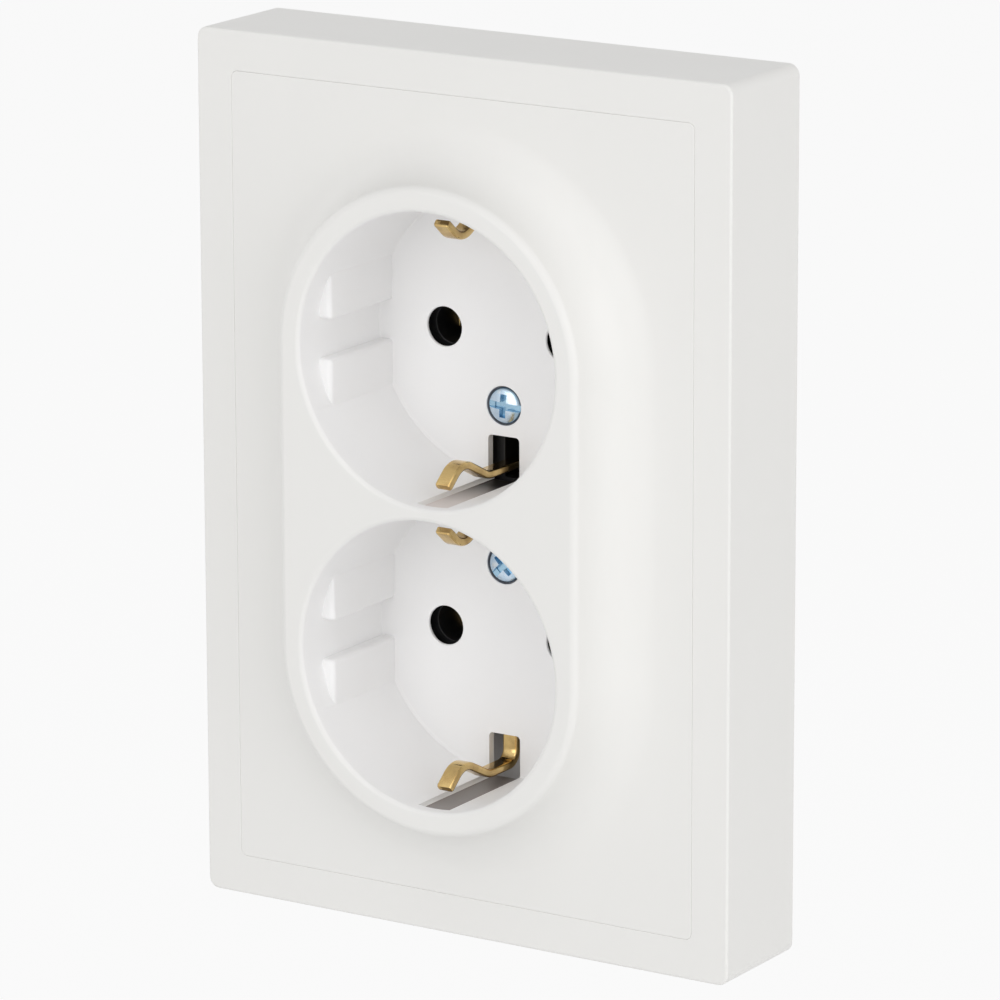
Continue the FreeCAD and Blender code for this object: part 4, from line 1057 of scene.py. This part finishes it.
@dataclass
class CentrePlate:
    """The plate with the raised rim round two plug recesses."""

    recesses: Recesses
    half_width: float = 36.39
    half_height: float = 55.39
    corner: float = 0.94
    back: float = 15.3
    front: float = 17.5
    arris: float = 0.1
    rim_radius: float = 23.6
    rim_arris: float = 1.1
    blend: float = 7.4
    shell: float = 2.0
    inner_front: float = 24.6
    waist: Point = (6.0, 0.95)
    cup_wall: float = 1.15
    cup_foot: float = 0.3
    mouth_radius: float = 20.1
    mouth_round: float = 0.7
    land_front: float = 21.46
    land_foot: float = 0.5
    land_reach: float = 1.0
    land_distance: float = 17.9
    land_gap: float = 5.5
    land_round: float = 0.7
    pin_hole: float = 2.75
    pin_edge: float = 0.22
    pin_way: float = 3.3
    pin_slope: float = 0.15
    lip: float = 0.35
    hole_back: float = 4.0
    hole_front: float = 8.0
    slot_corner: float = 0.6
    seat_edge: float = 0.12
    boss_radius: float = 4.0
    boss_drop: float = 0.4
    rib: float = 0.9
    rib_depth: float = 5.5
    rib_root: float = 0.5
    rib_half_width: float = 34.1
    rib_half_height: float = 53.1
    clean: float = 0.004

    def build(self) -> bpy.types.Object:
        """Build the plate's mesh.

        Returns:
            The finished object.
        """
        plate = Carving("centre_plate_shell")
        plate.add(self._skin())
        plate.cut(self._rear_hollow())
        plate.add(*self._rear_rib())
        plate.add(block(RoundBox.centred(*self.waist), self.recesses.floor_back, self.inner_front))
        for upper in SIDES:
            self._add_recess(plate, upper)
        return plate.done(self.clean)

    def _rim(self) -> Stadium:
        """Outline of the raised rim."""
        return Stadium(self.rim_radius, self.recesses.middle)

    def _skin(self) -> bmesh.types.BMesh:
        """The plate and its rim as one closed solid, with a flat back.

        Returns:
            The solid.
        """
        shape = bmesh.new()
        outline = RoundBox.centred(self.half_width, self.half_height, self.corner, 6)
        arris, rim_arris = self.arris, self.rim_arris
        outer = [(outline.loop(), self.back)]
        outer += swept(outline, (-arris, self.front - arris), arris, 0, 90, 4)
        inner = swept(self._rim(), (self.blend, self.front + self.blend), self.blend, 270, 180, 28)
        inner += swept(self._rim(), (-rim_arris, self.recesses.rim_front - rim_arris), rim_arris, 0, 90, 6)
        groups = []
        for rings in (outer, inner):
            loops = [[shape.verts.new(spot(x, depth, z)) for x, z in loop] for loop, depth in rings]
            span(shape, loops)
            groups.append(loops)
        shape.faces.new(groups[0][0])
        shape.faces.new(groups[1][-1])
        border = []
        for loop in (groups[0][-1], groups[1][0]):
            for index, vertex in enumerate(loop):
                border.append(shape.edges.get((vertex, loop[(index + 1) % len(loop)])))
        bmesh.ops.triangle_fill(shape, edges=border, use_beauty=True)
        return shape

    def _rear_hollow(self) -> bmesh.types.BMesh:
        """The hollow behind the rim and its foot, one shell's thickness away from the face.

        Returns:
            The solid to cut out.
        """
        radius = self.blend + self.shell
        middle = self.front + self.blend
        top = self.recesses.rim_front - self.shell
        lean = math.degrees(math.asin((middle - top) / radius))
        return loft([(self._rim().loop(self.blend), self.back - PAST),
                     *swept(self._rim(), (self.blend, middle), radius, 270, 180 + lean, 20)])

    def _rear_rib(self) -> Iterable[bmesh.types.BMesh]:
        """The locating rib behind the plate's border, as four walls.

        Returns:
            The walls.
        """
        width, height = self.rib_half_width, self.rib_half_height
        back, front = self.back - self.rib_depth, self.back + self.rib_root
        for side in SIDES:
            left, right = sorted((width * side, (width - self.rib) * side))
            yield block(RoundBox(left, -height, right, height), back, front)
        for side in SIDES:
            low, high = sorted((height * side, (height - self.rib) * side))
            yield block(RoundBox(-width, low, width, high), back, front)

    def _add_recess(self, plate: Carving, upper: int) -> None:
        """Form one recess with its lands, holes and slots.

        Args:
            plate: The plate so far.
            upper: One for the upper recess, minus one for the lower.
        """
        shared = self.recesses
        z = shared.middle * upper
        screw = shared.screw_height * upper
        cup = Disc(0.0, z, shared.cup_radius + self.cup_wall, 128)
        plate.add(block(cup, shared.floor_back, self.inner_front))
        boss = Disc(0.0, screw, self.boss_radius, 48)
        plate.add(block(boss, shared.floor_back - SUNK, shared.floor - self.boss_drop))
        plate.cut(turned(0.0, z, self._cup_profile(), 160))
        for right in SIDES:
            for high in SIDES:
                land = GuideLand(z, shared.cup_radius + self.land_reach, self.land_distance,
                                 self.land_gap / 2, right, high)
                plate.add(block(land, shared.floor - self.land_foot, self.land_front, self.land_round))
        for right in SIDES:
            plate.cut(turned(shared.pin_across * right, z, self._pin_profile()))
        seat = [(shared.seat_radius, shared.seat), *self._lip(shared.seat_radius, self.seat_edge)]
        plate.cut(turned(0.0, screw, seat))
        hole = [(shared.screw_hole, self.hole_back), (shared.screw_hole, self.hole_front)]
        plate.cut(turned(0.0, screw, hole, 32))
        for low, high in ((shared.slot_start, shared.slot_end), (-shared.slot_end, -shared.slot_start)):
            slot = RoundBox(-shared.slot_half, z + low, shared.slot_half, z + high, self.slot_corner, 5)
            plate.cut(block(slot, self.hole_back, shared.slot_front))

    def _cup_profile(self) -> Loop:
        """Profile of one recess from its floor to past its mouth.

        Returns:
            Points as (radius, depth).
        """
        shared, foot = self.recesses, self.cup_foot
        mouth, edge = self.mouth_radius + self.mouth_round, self.mouth_round
        return [*arc((shared.cup_radius - foot, shared.floor + foot), foot, 270, 360, 6),
                *arc((mouth, shared.rim_front - edge), edge, 180, 90, 6),
                (mouth, shared.rim_front + PAST)]

    def _lip(self, radius: float, edge: float) -> Loop:
        """Soft edge of a round hole in the floor, and its way out to the front."""
        floor = self.recesses.floor
        return [*arc((radius + edge, floor - edge), edge, 180, 90, 4), (radius + edge, floor + PAST)]

    def _pin_profile(self) -> Loop:
        """Profile of a pin hole through the floor.

        Returns:
            Points as (radius, depth).
        """
        under = self.recesses.floor - self.lip
        return [(self.pin_way, self.hole_back), (self.pin_way, under - self.pin_slope),
                (self.pin_hole, under), *self._lip(self.pin_hole, self.pin_edge)]


@dataclass
class EarthClips:
    """The earth strap and the earth bridge, with the four clips that their ends form."""

    recesses: Recesses
    width: float = 2.4
    thickness: float = 1.1
    valley_radius: float = 18.35
    apex_radius: float = 15.15
    tip_radius: float = 18.1
    valley_depth: float = 11.6
    apex_depth: float = 18.0
    tip_depth: float = 21.6
    valley_bend: float = 4.0
    apex_bend: float = 3.4
    neck_bend: float = 2.0
    cushion: float = 0.34
    edge: float = 0.1
    cut_edge: float = 0.15
    flat_edge: float = 0.12
    strap_back: float = 4.0
    strap_half_width: float = 5.0
    strap_end: float = 15.5
    strap_corner: float = 1.5
    window: Point = (3.6, 8.2)
    window_corner: float = 0.6
    collar: float = 2.3
    collar_back: float = 2.5
    collar_root: float = 0.3
    screw_way: float = 1.52
    screw_mouth: float = 1.9
    mouth_half: float = 0.2
    bridge_front: float = -5.45
    foot_right: float = 0.8
    foot_inset: Point = (0.05, 0.02)
    face: float = -2.7
    plate_back: float = -17.8
    plate_half: float = 7.5
    arm_low: float = 6.4
    tab: Point = (9.2, 13.2)
    arm: Point = (-10.45, -7.45)

    def _tail(self, outward: int, upper: int) -> list[tuple[float, ...]]:
        """The run of one clip from its valley to its tip.

        Args:
            outward: One for an outer clip, minus one for an inner one.
            upper: One for the upper recess, minus one for the lower.

        Returns:
            Points as (depth, height), with the radius of each bend.
        """
        def height(radius: float) -> float:
            """Height of a point of the clip, from its distance to the recess's middle."""
            return (self.recesses.middle + radius * outward) * upper

        return [(self.valley_depth, height(self.valley_radius), self.valley_bend),
                (self.apex_depth, height(self.apex_radius), self.apex_bend),
                (self.tip_depth, height(self.tip_radius))]

    def _bend(self, run: Sequence[tuple[float, ...]]) -> bmesh.types.BMesh:
        """The strip of one clip or of a pair along its run."""
        return strip(bent(run), self.width, self.thickness, self.cushion)

    def strap(self) -> bpy.types.Object:
        """Build the strap with its two outer clips.

        Returns:
            The finished object.
        """
        strap = Carving("earth_strap_piece")
        back, front = self.strap_back, self.strap_back + self.thickness
        flat = RoundBox.centred(self.strap_half_width, self.strap_end, self.strap_corner, 6)
        strap.add(block(flat, back, front, self.flat_edge, self.flat_edge, 3))
        strap.cut(block(RoundBox.centred(*self.window, self.window_corner, 4), back - PAST, front + PAST))
        middle = back + self.thickness / 2
        for upper in SIDES:
            screw = self.recesses.screw_height * upper
            strap.add(turned(0.0, screw, [(self.collar - self.cut_edge, self.collar_back),
                                          (self.collar, self.collar_back + self.cut_edge),
                                          (self.collar, back + self.collar_root)], 40))
            strap.cut(turned(0.0, screw, [(self.screw_way, self.collar_back - PAST / 2),
                                          (self.screw_way, front - self.mouth_half),
                                          (self.screw_mouth, front + self.mouth_half)], 40))
            corner = (middle, (self.recesses.middle + self.valley_radius) * upper, self.neck_bend)
            start = (middle, (self.strap_end - self.thickness) * upper)
            strap.add(self._bend([start, corner, *self._tail(1, upper)]))
        outer = self.face - self.thickness * 2
        tab = RoundBox(outer, self.tab[0], outer + self.thickness, self.tab[1], self.edge, 2)
        strap.add(block(tab, self.arm[0], front - SUNK * 2, self.edge, self.cut_edge, 2))
        return strap.done()

    def bridge(self) -> bpy.types.Object:
        """Build the bridge with its two inner clips and the earth terminal plate.

        Returns:
            The finished object.
        """
        bridge = Carving("earth_bridge_piece")
        front, back = self.bridge_front, self.bridge_front - self.thickness
        middle = front - self.thickness / 2
        leg = self.recesses.middle - self.valley_radius
        start, *upper_tail = reversed(self._tail(-1, 1))
        corners = [(middle, leg, self.neck_bend), (middle, -leg, self.neck_bend)]
        bridge.add(self._bend([start[:2], *upper_tail, *corners, *self._tail(-1, -1)]))
        outer = self.face - self.thickness
        foot = RoundBox(outer + self.foot_inset[0], -leg / 2, self.foot_right, leg / 2)
        bridge.add(block(foot, back + self.foot_inset[1], front - self.foot_inset[1]))
        plate = RoundBox(outer, -self.plate_half, self.face, self.plate_half, self.edge, 2)
        bridge.add(block(plate, self.plate_back, front, self.edge, self.cut_edge, 2))
        arm = RoundBox(outer, self.arm_low, self.face, self.tab[1], self.edge, 2)
        bridge.add(block(arm, *self.arm, self.edge, self.edge, 2))
        return bridge.done()


@dataclass
class SlottedScrew:
    """A screw with a domed head, a slot, a cross recess where it has one, and a thread."""

    name: str
    x: float
    z: float
    seat: float
    head_radius: float
    head_height: float
    radius: float
    length: float
    pitch: float
    slot: float
    slot_depth: float
    turn: float
    cross: float = 0.0
    cross_half: float = 0.48
    cross_depth: float = 1.25
    edge: float = 0.22
    chamfer: float = 0.1
    crown: float = 0.42
    crown_steps: int = 8
    crown_end: float = 0.985
    crown_drop: float = 0.13
    groove_foot: Point = (0.04, 0.08)
    groove_flare: float = 0.06
    thread_root: float = 0.2
    thread_depth: float = 0.52
    thread_rows: int = 6
    thread_steps: int = 28
    tip: float = 0.72

    def build(self) -> bpy.types.Object:
        """Build the screw's mesh.

        Returns:
            The finished object.
        """
        screw = Carving(self.name)
        screw.add(turned(self.x, self.z, self._head(), 72), self._thread())
        screw.cut(self._groove(self.head_radius + PAST / 2, self.slot / 2, self.slot_depth, 0.0))
        if self.cross:
            for turn in (90.0, 0.0):
                screw.cut(self._groove(self.cross / 2, self.slot * self.cross_half,
                                       self.slot_depth * self.cross_depth, turn))
        return screw.done()

    def _head(self) -> Loop:
        """Profile of the head from its seat to its crown.

        Returns:
            Points as (radius, depth).
        """
        wide, edge = self.head_radius, self.edge
        crown = self.head_height * self.crown
        side = self.seat + self.head_height - crown
        profile = [(wide - self.chamfer, self.seat), (wide, self.seat + self.chamfer)]
        profile += arc((wide - edge, side - edge), edge, 0, 60, 3)
        drop = edge * self.crown_drop
        for step in range(1, self.crown_steps + 1):
            turn = math.pi / 2 * step / self.crown_steps
            profile.append(((wide - edge / 2) * math.cos(turn * self.crown_end),
                            side - drop + (crown + drop) * math.sin(turn)))
        return profile

    def _thread(self) -> bmesh.types.BMesh:
        """The threaded shank, narrowed at its tip.

        Returns:
            The solid.
        """
        front, back = self.seat + self.thread_root, self.seat - self.length
        rows = int((front - back) / self.pitch * self.thread_rows)
        rings: list[Ring] = []
        for row in range(rows + 1):
            depth = front - (front - back) * row / rows
            ease = self.tip + (1.0 - self.tip) * min(1.0, (depth - back) / self.pitch)
            groove = self.pitch * self.thread_depth if row else 0.0
            loop = []
            for step in range(self.thread_steps):
                share = step / self.thread_steps
                phase = ((front - depth) / self.pitch + share) % 1.0
                size = (self.radius - groove * (1 - abs(phase * 2 - 1))) * ease
                loop.append((self.x + size * math.cos(math.tau * share),
                             self.z + size * math.sin(math.tau * share)))
            rings.append((loop, depth))
        return loft(rings)

    def _groove(self, reach: float, half: float, deep: float, extra: float) -> bmesh.types.BMesh:
        """A groove across the head, with slightly opening sides.

        Args:
            reach: Half its length.
            half: Half its width.
            deep: Depth below the top of the head.
            extra: Turn against the slot in degrees.

        Returns:
            The solid to cut out.
        """
        top = self.seat + self.head_height
        back = top - deep
        rings: list[Ring] = []
        spin = Matrix.Rotation(math.radians(self.turn + extra), 2)
        narrow, rise = self.groove_foot
        for grow, depth in ((-narrow, back), (0.0, back + rise), (self.groove_flare, top + PAST / 2)):
            loop = []
            for point in RoundBox.centred(reach, half).loop(grow):
                at = spin @ Vector(point)
                loop.append((self.x + at.x, self.z + at.y))
            rings.append((loop, depth))
        return loft(rings)


@dataclass
class Hardware:
    """Solid model pieces that keep their shape and get a finish and soft edges."""

    wardrobe: Wardrobe
    edge: float = 0.12
    seam: float = 0.001
    flat_angle: float = 0.2
    edge_angle: float = 38.0

    def dress(self, node: bpy.types.Object, finish: Finish) -> None:
        """Give one solid model piece its finish and its soft edges.

        Args:
            node: The piece.
            finish: Its finish.
        """
        self.wardrobe.dress(node, finish)
        weld = node.modifiers.new("closed_seams", "WELD")
        weld.merge_threshold = self.seam * MM
        flat = node.modifiers.new("flat_faces", "DECIMATE")
        flat.decimate_type, flat.angle_limit = "DISSOLVE", math.radians(self.flat_angle)
        soft = node.modifiers.new("soft_edges", "BEVEL")
        soft.width, soft.segments, soft.limit_method = self.edge * MM, 2, "ANGLE"
        soft.angle_limit = math.radians(self.edge_angle)
        weight = node.modifiers.new("even_shading", "WEIGHTED_NORMAL")
        weight.keep_sharp = True


# Studio


def toward(azimuth: float, elevation: float) -> Vector:
    """Direction from the socket to a place, from its angles in degrees."""
    turn, lift = math.radians(azimuth), math.radians(elevation)
    return Vector((math.sin(turn) * math.cos(lift), -math.cos(turn) * math.cos(lift), math.sin(lift)))


@dataclass
class Viewpoint:
    """The camera of the photograph."""

    azimuth: float = 32.442
    elevation: float = 14.217
    roll: float = -0.178
    distance: float = 869.812
    focal_px: float = 6440.18
    frame_px: float = 1000.0
    sensor: float = 36.0
    clip: Point = (0.05, 20.0)
    target: tuple[float, float, float] = (1.664, -10.0, -1.004)

    def place(self) -> None:
        """Make the camera and hand it to the scene."""
        back = toward(self.azimuth, self.elevation)
        lens = bpy.data.cameras.new("viewpoint")
        lens.sensor_width = self.sensor
        lens.lens = self.focal_px * self.sensor / self.frame_px
        lens.clip_start, lens.clip_end = self.clip
        camera = link("viewpoint", lens)
        camera.rotation_mode = "QUATERNION"
        camera.location = (Vector(self.target) + back * self.distance) * MM
        level = (-back).to_track_quat("-Z", "Y")
        tilt = Matrix.Rotation(math.radians(self.roll), 3, "Z").to_quaternion()
        camera.rotation_quaternion = level @ tilt
        bpy.context.scene.camera = camera


@dataclass(frozen=True)
class Softbox:
    """A square soft light that faces the socket, with its distance and side in metres."""

    name: str
    azimuth: float
    elevation: float
    distance: float
    side: float
    power: float

    def place(self) -> None:
        """Make the light."""
        back = toward(self.azimuth, self.elevation)
        light = bpy.data.lights.new(self.name, "AREA")
        light.shape, light.size, light.energy = "SQUARE", self.side, self.power
        lamp = link(self.name, light)
        lamp.rotation_mode = "QUATERNION"
        lamp.location = back * self.distance
        lamp.rotation_quaternion = (-back).to_track_quat("-Z", "Y")


@dataclass
class Studio:
    """Pale floor, even world light and soft lamps, with the floor's sizes in metres."""

    floor_height: float = -0.3
    floor_half: float = 6.0
    floor_glow: float = 0.9
    floor_scale: float = 3.0
    floor_tones: tuple[Colour, Colour] = ((0.86, 0.86, 0.86), (0.9, 0.9, 0.9))
    world_light: float = 0.485
    lamps: tuple[Softbox, ...] = (
        Softbox("front_softbox", -5.0, 8.0, 1.6, 1.1, 4.8),
        Softbox("high_softbox", 15.0, 50.0, 1.5, 1.0, 3.2),
        Softbox("right_softbox", 60.0, 8.0, 1.5, 1.0, 4.2),
        Softbox("side_softbox", 95.0, 5.0, 1.4, 1.0, 2.9),
        Softbox("left_softbox", -90.0, 10.0, 1.5, 0.9, 1.8),
    )

    def place(self) -> None:
        """Make the floor, the world and the lamps."""
        self._floor()
        self._world()
        for lamp in self.lamps:
            lamp.place()

    def _floor(self) -> None:
        """A wide pale floor that shows nearly white."""
        graph = Graph(bpy.data.materials.new("studio_floor"))
        tone = graph.blend(graph.noise(self.floor_scale, 2.0), *self.floor_tones)
        plain = graph.node("ShaderNodeBsdfDiffuse", None, {"Color": tone})
        glow = graph.node("ShaderNodeEmission", None, {"Color": (1.0, 1.0, 1.0, 1.0), "Strength": 1.0})
        mixed = graph.node("ShaderNodeMixShader", None, {
            0: graph.seen() * self.floor_glow, 1: graph.out(plain), 2: graph.out(glow)})
        graph.node("ShaderNodeOutputMaterial", None, {"Surface": graph.out(mixed)})
        shape = bmesh.new()
        bmesh.ops.create_grid(shape, x_segments=1, y_segments=1, size=self.floor_half)
        floor = placed("studio_floor", shape)
        floor.location = (0.0, 0.0, self.floor_height)
        floor.data.materials.append(graph.owner)

    def _world(self) -> None:
        """World light, white where the camera looks."""
        world = bpy.data.worlds.new("studio_world")
        bpy.context.scene.world = world
        graph = Graph(world)
        strength = graph.remap(graph.seen(), 0.0, 1.0, self.world_light, 1.0)
        glow = graph.node("ShaderNodeBackground", None,
                          {"Color": (1.0, 1.0, 1.0, 1.0), "Strength": strength})
        graph.node("ShaderNodeOutputWorld", None, {"Surface": graph.out(glow)})


# Assembly


class WallSocket:
    """Builds every shown piece and ties it to the body that it moves with."""

    # Solid model nodes that stay, with their finishes.
    KEPT = {
        "base_body": Finish.BLACK, "rear_cover": Finish.BLACK, "rear_cover_screws": Finish.ZINC,
        "support_ring": Finish.SHEET, "ring_rivets": Finish.RIVET,
        "live_contact_bar": Finish.BRASS, "neutral_contact_bar": Finish.BRASS,
        "live_clamp_spring": Finish.SPRING, "neutral_clamp_spring": Finish.SPRING,
        "earth_clamp_spring": Finish.SPRING, "live_release_lever": Finish.GREY,
        "neutral_release_lever": Finish.GREY, "earth_release_lever": Finish.GREEN,
        "claw_left": Finish.ZINC, "claw_right": Finish.ZINC,
        "claw_nut_left": Finish.ZINC, "claw_nut_right": Finish.ZINC,
    }
    # Where each clamp spring stands and where its lever meets it along the depth, and that lever's travel.
    SPRING_FOOT = 9.0 * MM
    SPRING_CONTACT = 16.1 * MM
    LEVER_PRESS = 1.5 * MM
    # Place of the right claw screw across and up, and the depth of its seat.
    CLAW_SCREW = (21.6, -10.0)
    CLAW_SEAT = 2.4

    def __init__(self, frame: dict[str, Any]) -> None:
        self.nodes = frame["nodes"]
        self.wardrobe = Wardrobe()
        self.recesses = Recesses()

    def _mount(self, piece: bpy.types.Object, body: str, node: str, finish: Finish) -> None:
        """Dress a new piece and let it stand for a node on one body.

        Args:
            piece: The new piece.
            body: The body that it moves with.
            node: The solid model node that it stands for.
            finish: Its finish.
        """
        self.wardrobe.dress(piece, finish)
        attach(piece, body)
        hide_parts(node)
        LOG.info("built %s for %s", piece.name, node)

    def build(self) -> None:
        """Build and dress all pieces."""
        self._mount(CoverFrame().build(), "socket", "cover_frame", Finish.WHITE)
        self._mount(CentrePlate(self.recesses).build(), "socket", "centre_plate", Finish.WHITE)
        clips = EarthClips(self.recesses)
        self._mount(clips.strap(), "socket", "earth_strap", Finish.BRASS)
        self._mount(clips.bridge(), "socket", "earth_bridge", Finish.BRASS)
        self._mount_screws()
        hardware = Hardware(self.wardrobe)
        for name, finish in self.KEPT.items():
            hardware.dress(self.nodes[name], finish)
            LOG.info("dressed %s", name)
        self._fold_springs()

    def _mount_screws(self) -> None:
        """Build the two cover screws and the two claw screws."""
        shared = self.recesses
        for place, upper, turn in (("upper", 1, -4.0), ("lower", -1, 45.0)):
            screw = SlottedScrew("cover_screw_%s_piece" % place, 0.0, shared.screw_height * upper,
                                 shared.seat, head_radius=2.52, head_height=1.1, radius=1.5, length=11.0,
                                 pitch=0.5, slot=0.95, slot_depth=0.7, turn=turn, cross=3.2)
            self._mount(screw.build(), "socket", "cover_screw_" + place, Finish.BLUE_ZINC)
        across, up = self.CLAW_SCREW
        for place, side in (("left", -1), ("right", 1)):
            screw = SlottedScrew("claw_screw_%s_piece" % place, across * side, up * side,
                                 self.CLAW_SEAT, head_radius=2.8, head_height=1.8, radius=1.75,
                                 length=20.0, pitch=0.7, slot=0.9, slot_depth=0.8, turn=20.0)
            self._mount(screw.build(), place + "_screw", "claw_screw_" + place, Finish.ZINC)

    def _fold_springs(self) -> None:
        """Give each clamp spring a mesh of its own."""
        for name in ("live", "neutral", "earth"):
            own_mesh(self.nodes[name + "_clamp_spring"])


def main() -> None:
    """Build the scene."""
    logging.basicConfig(level=logging.INFO, format="%(name)s: %(message)s")
    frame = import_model()
    bpy.context.scene.view_settings.view_transform = "Standard"
    Viewpoint().place()
    Studio().place()
    WallSocket(frame).build()


if __name__ == "__main__":
    main()
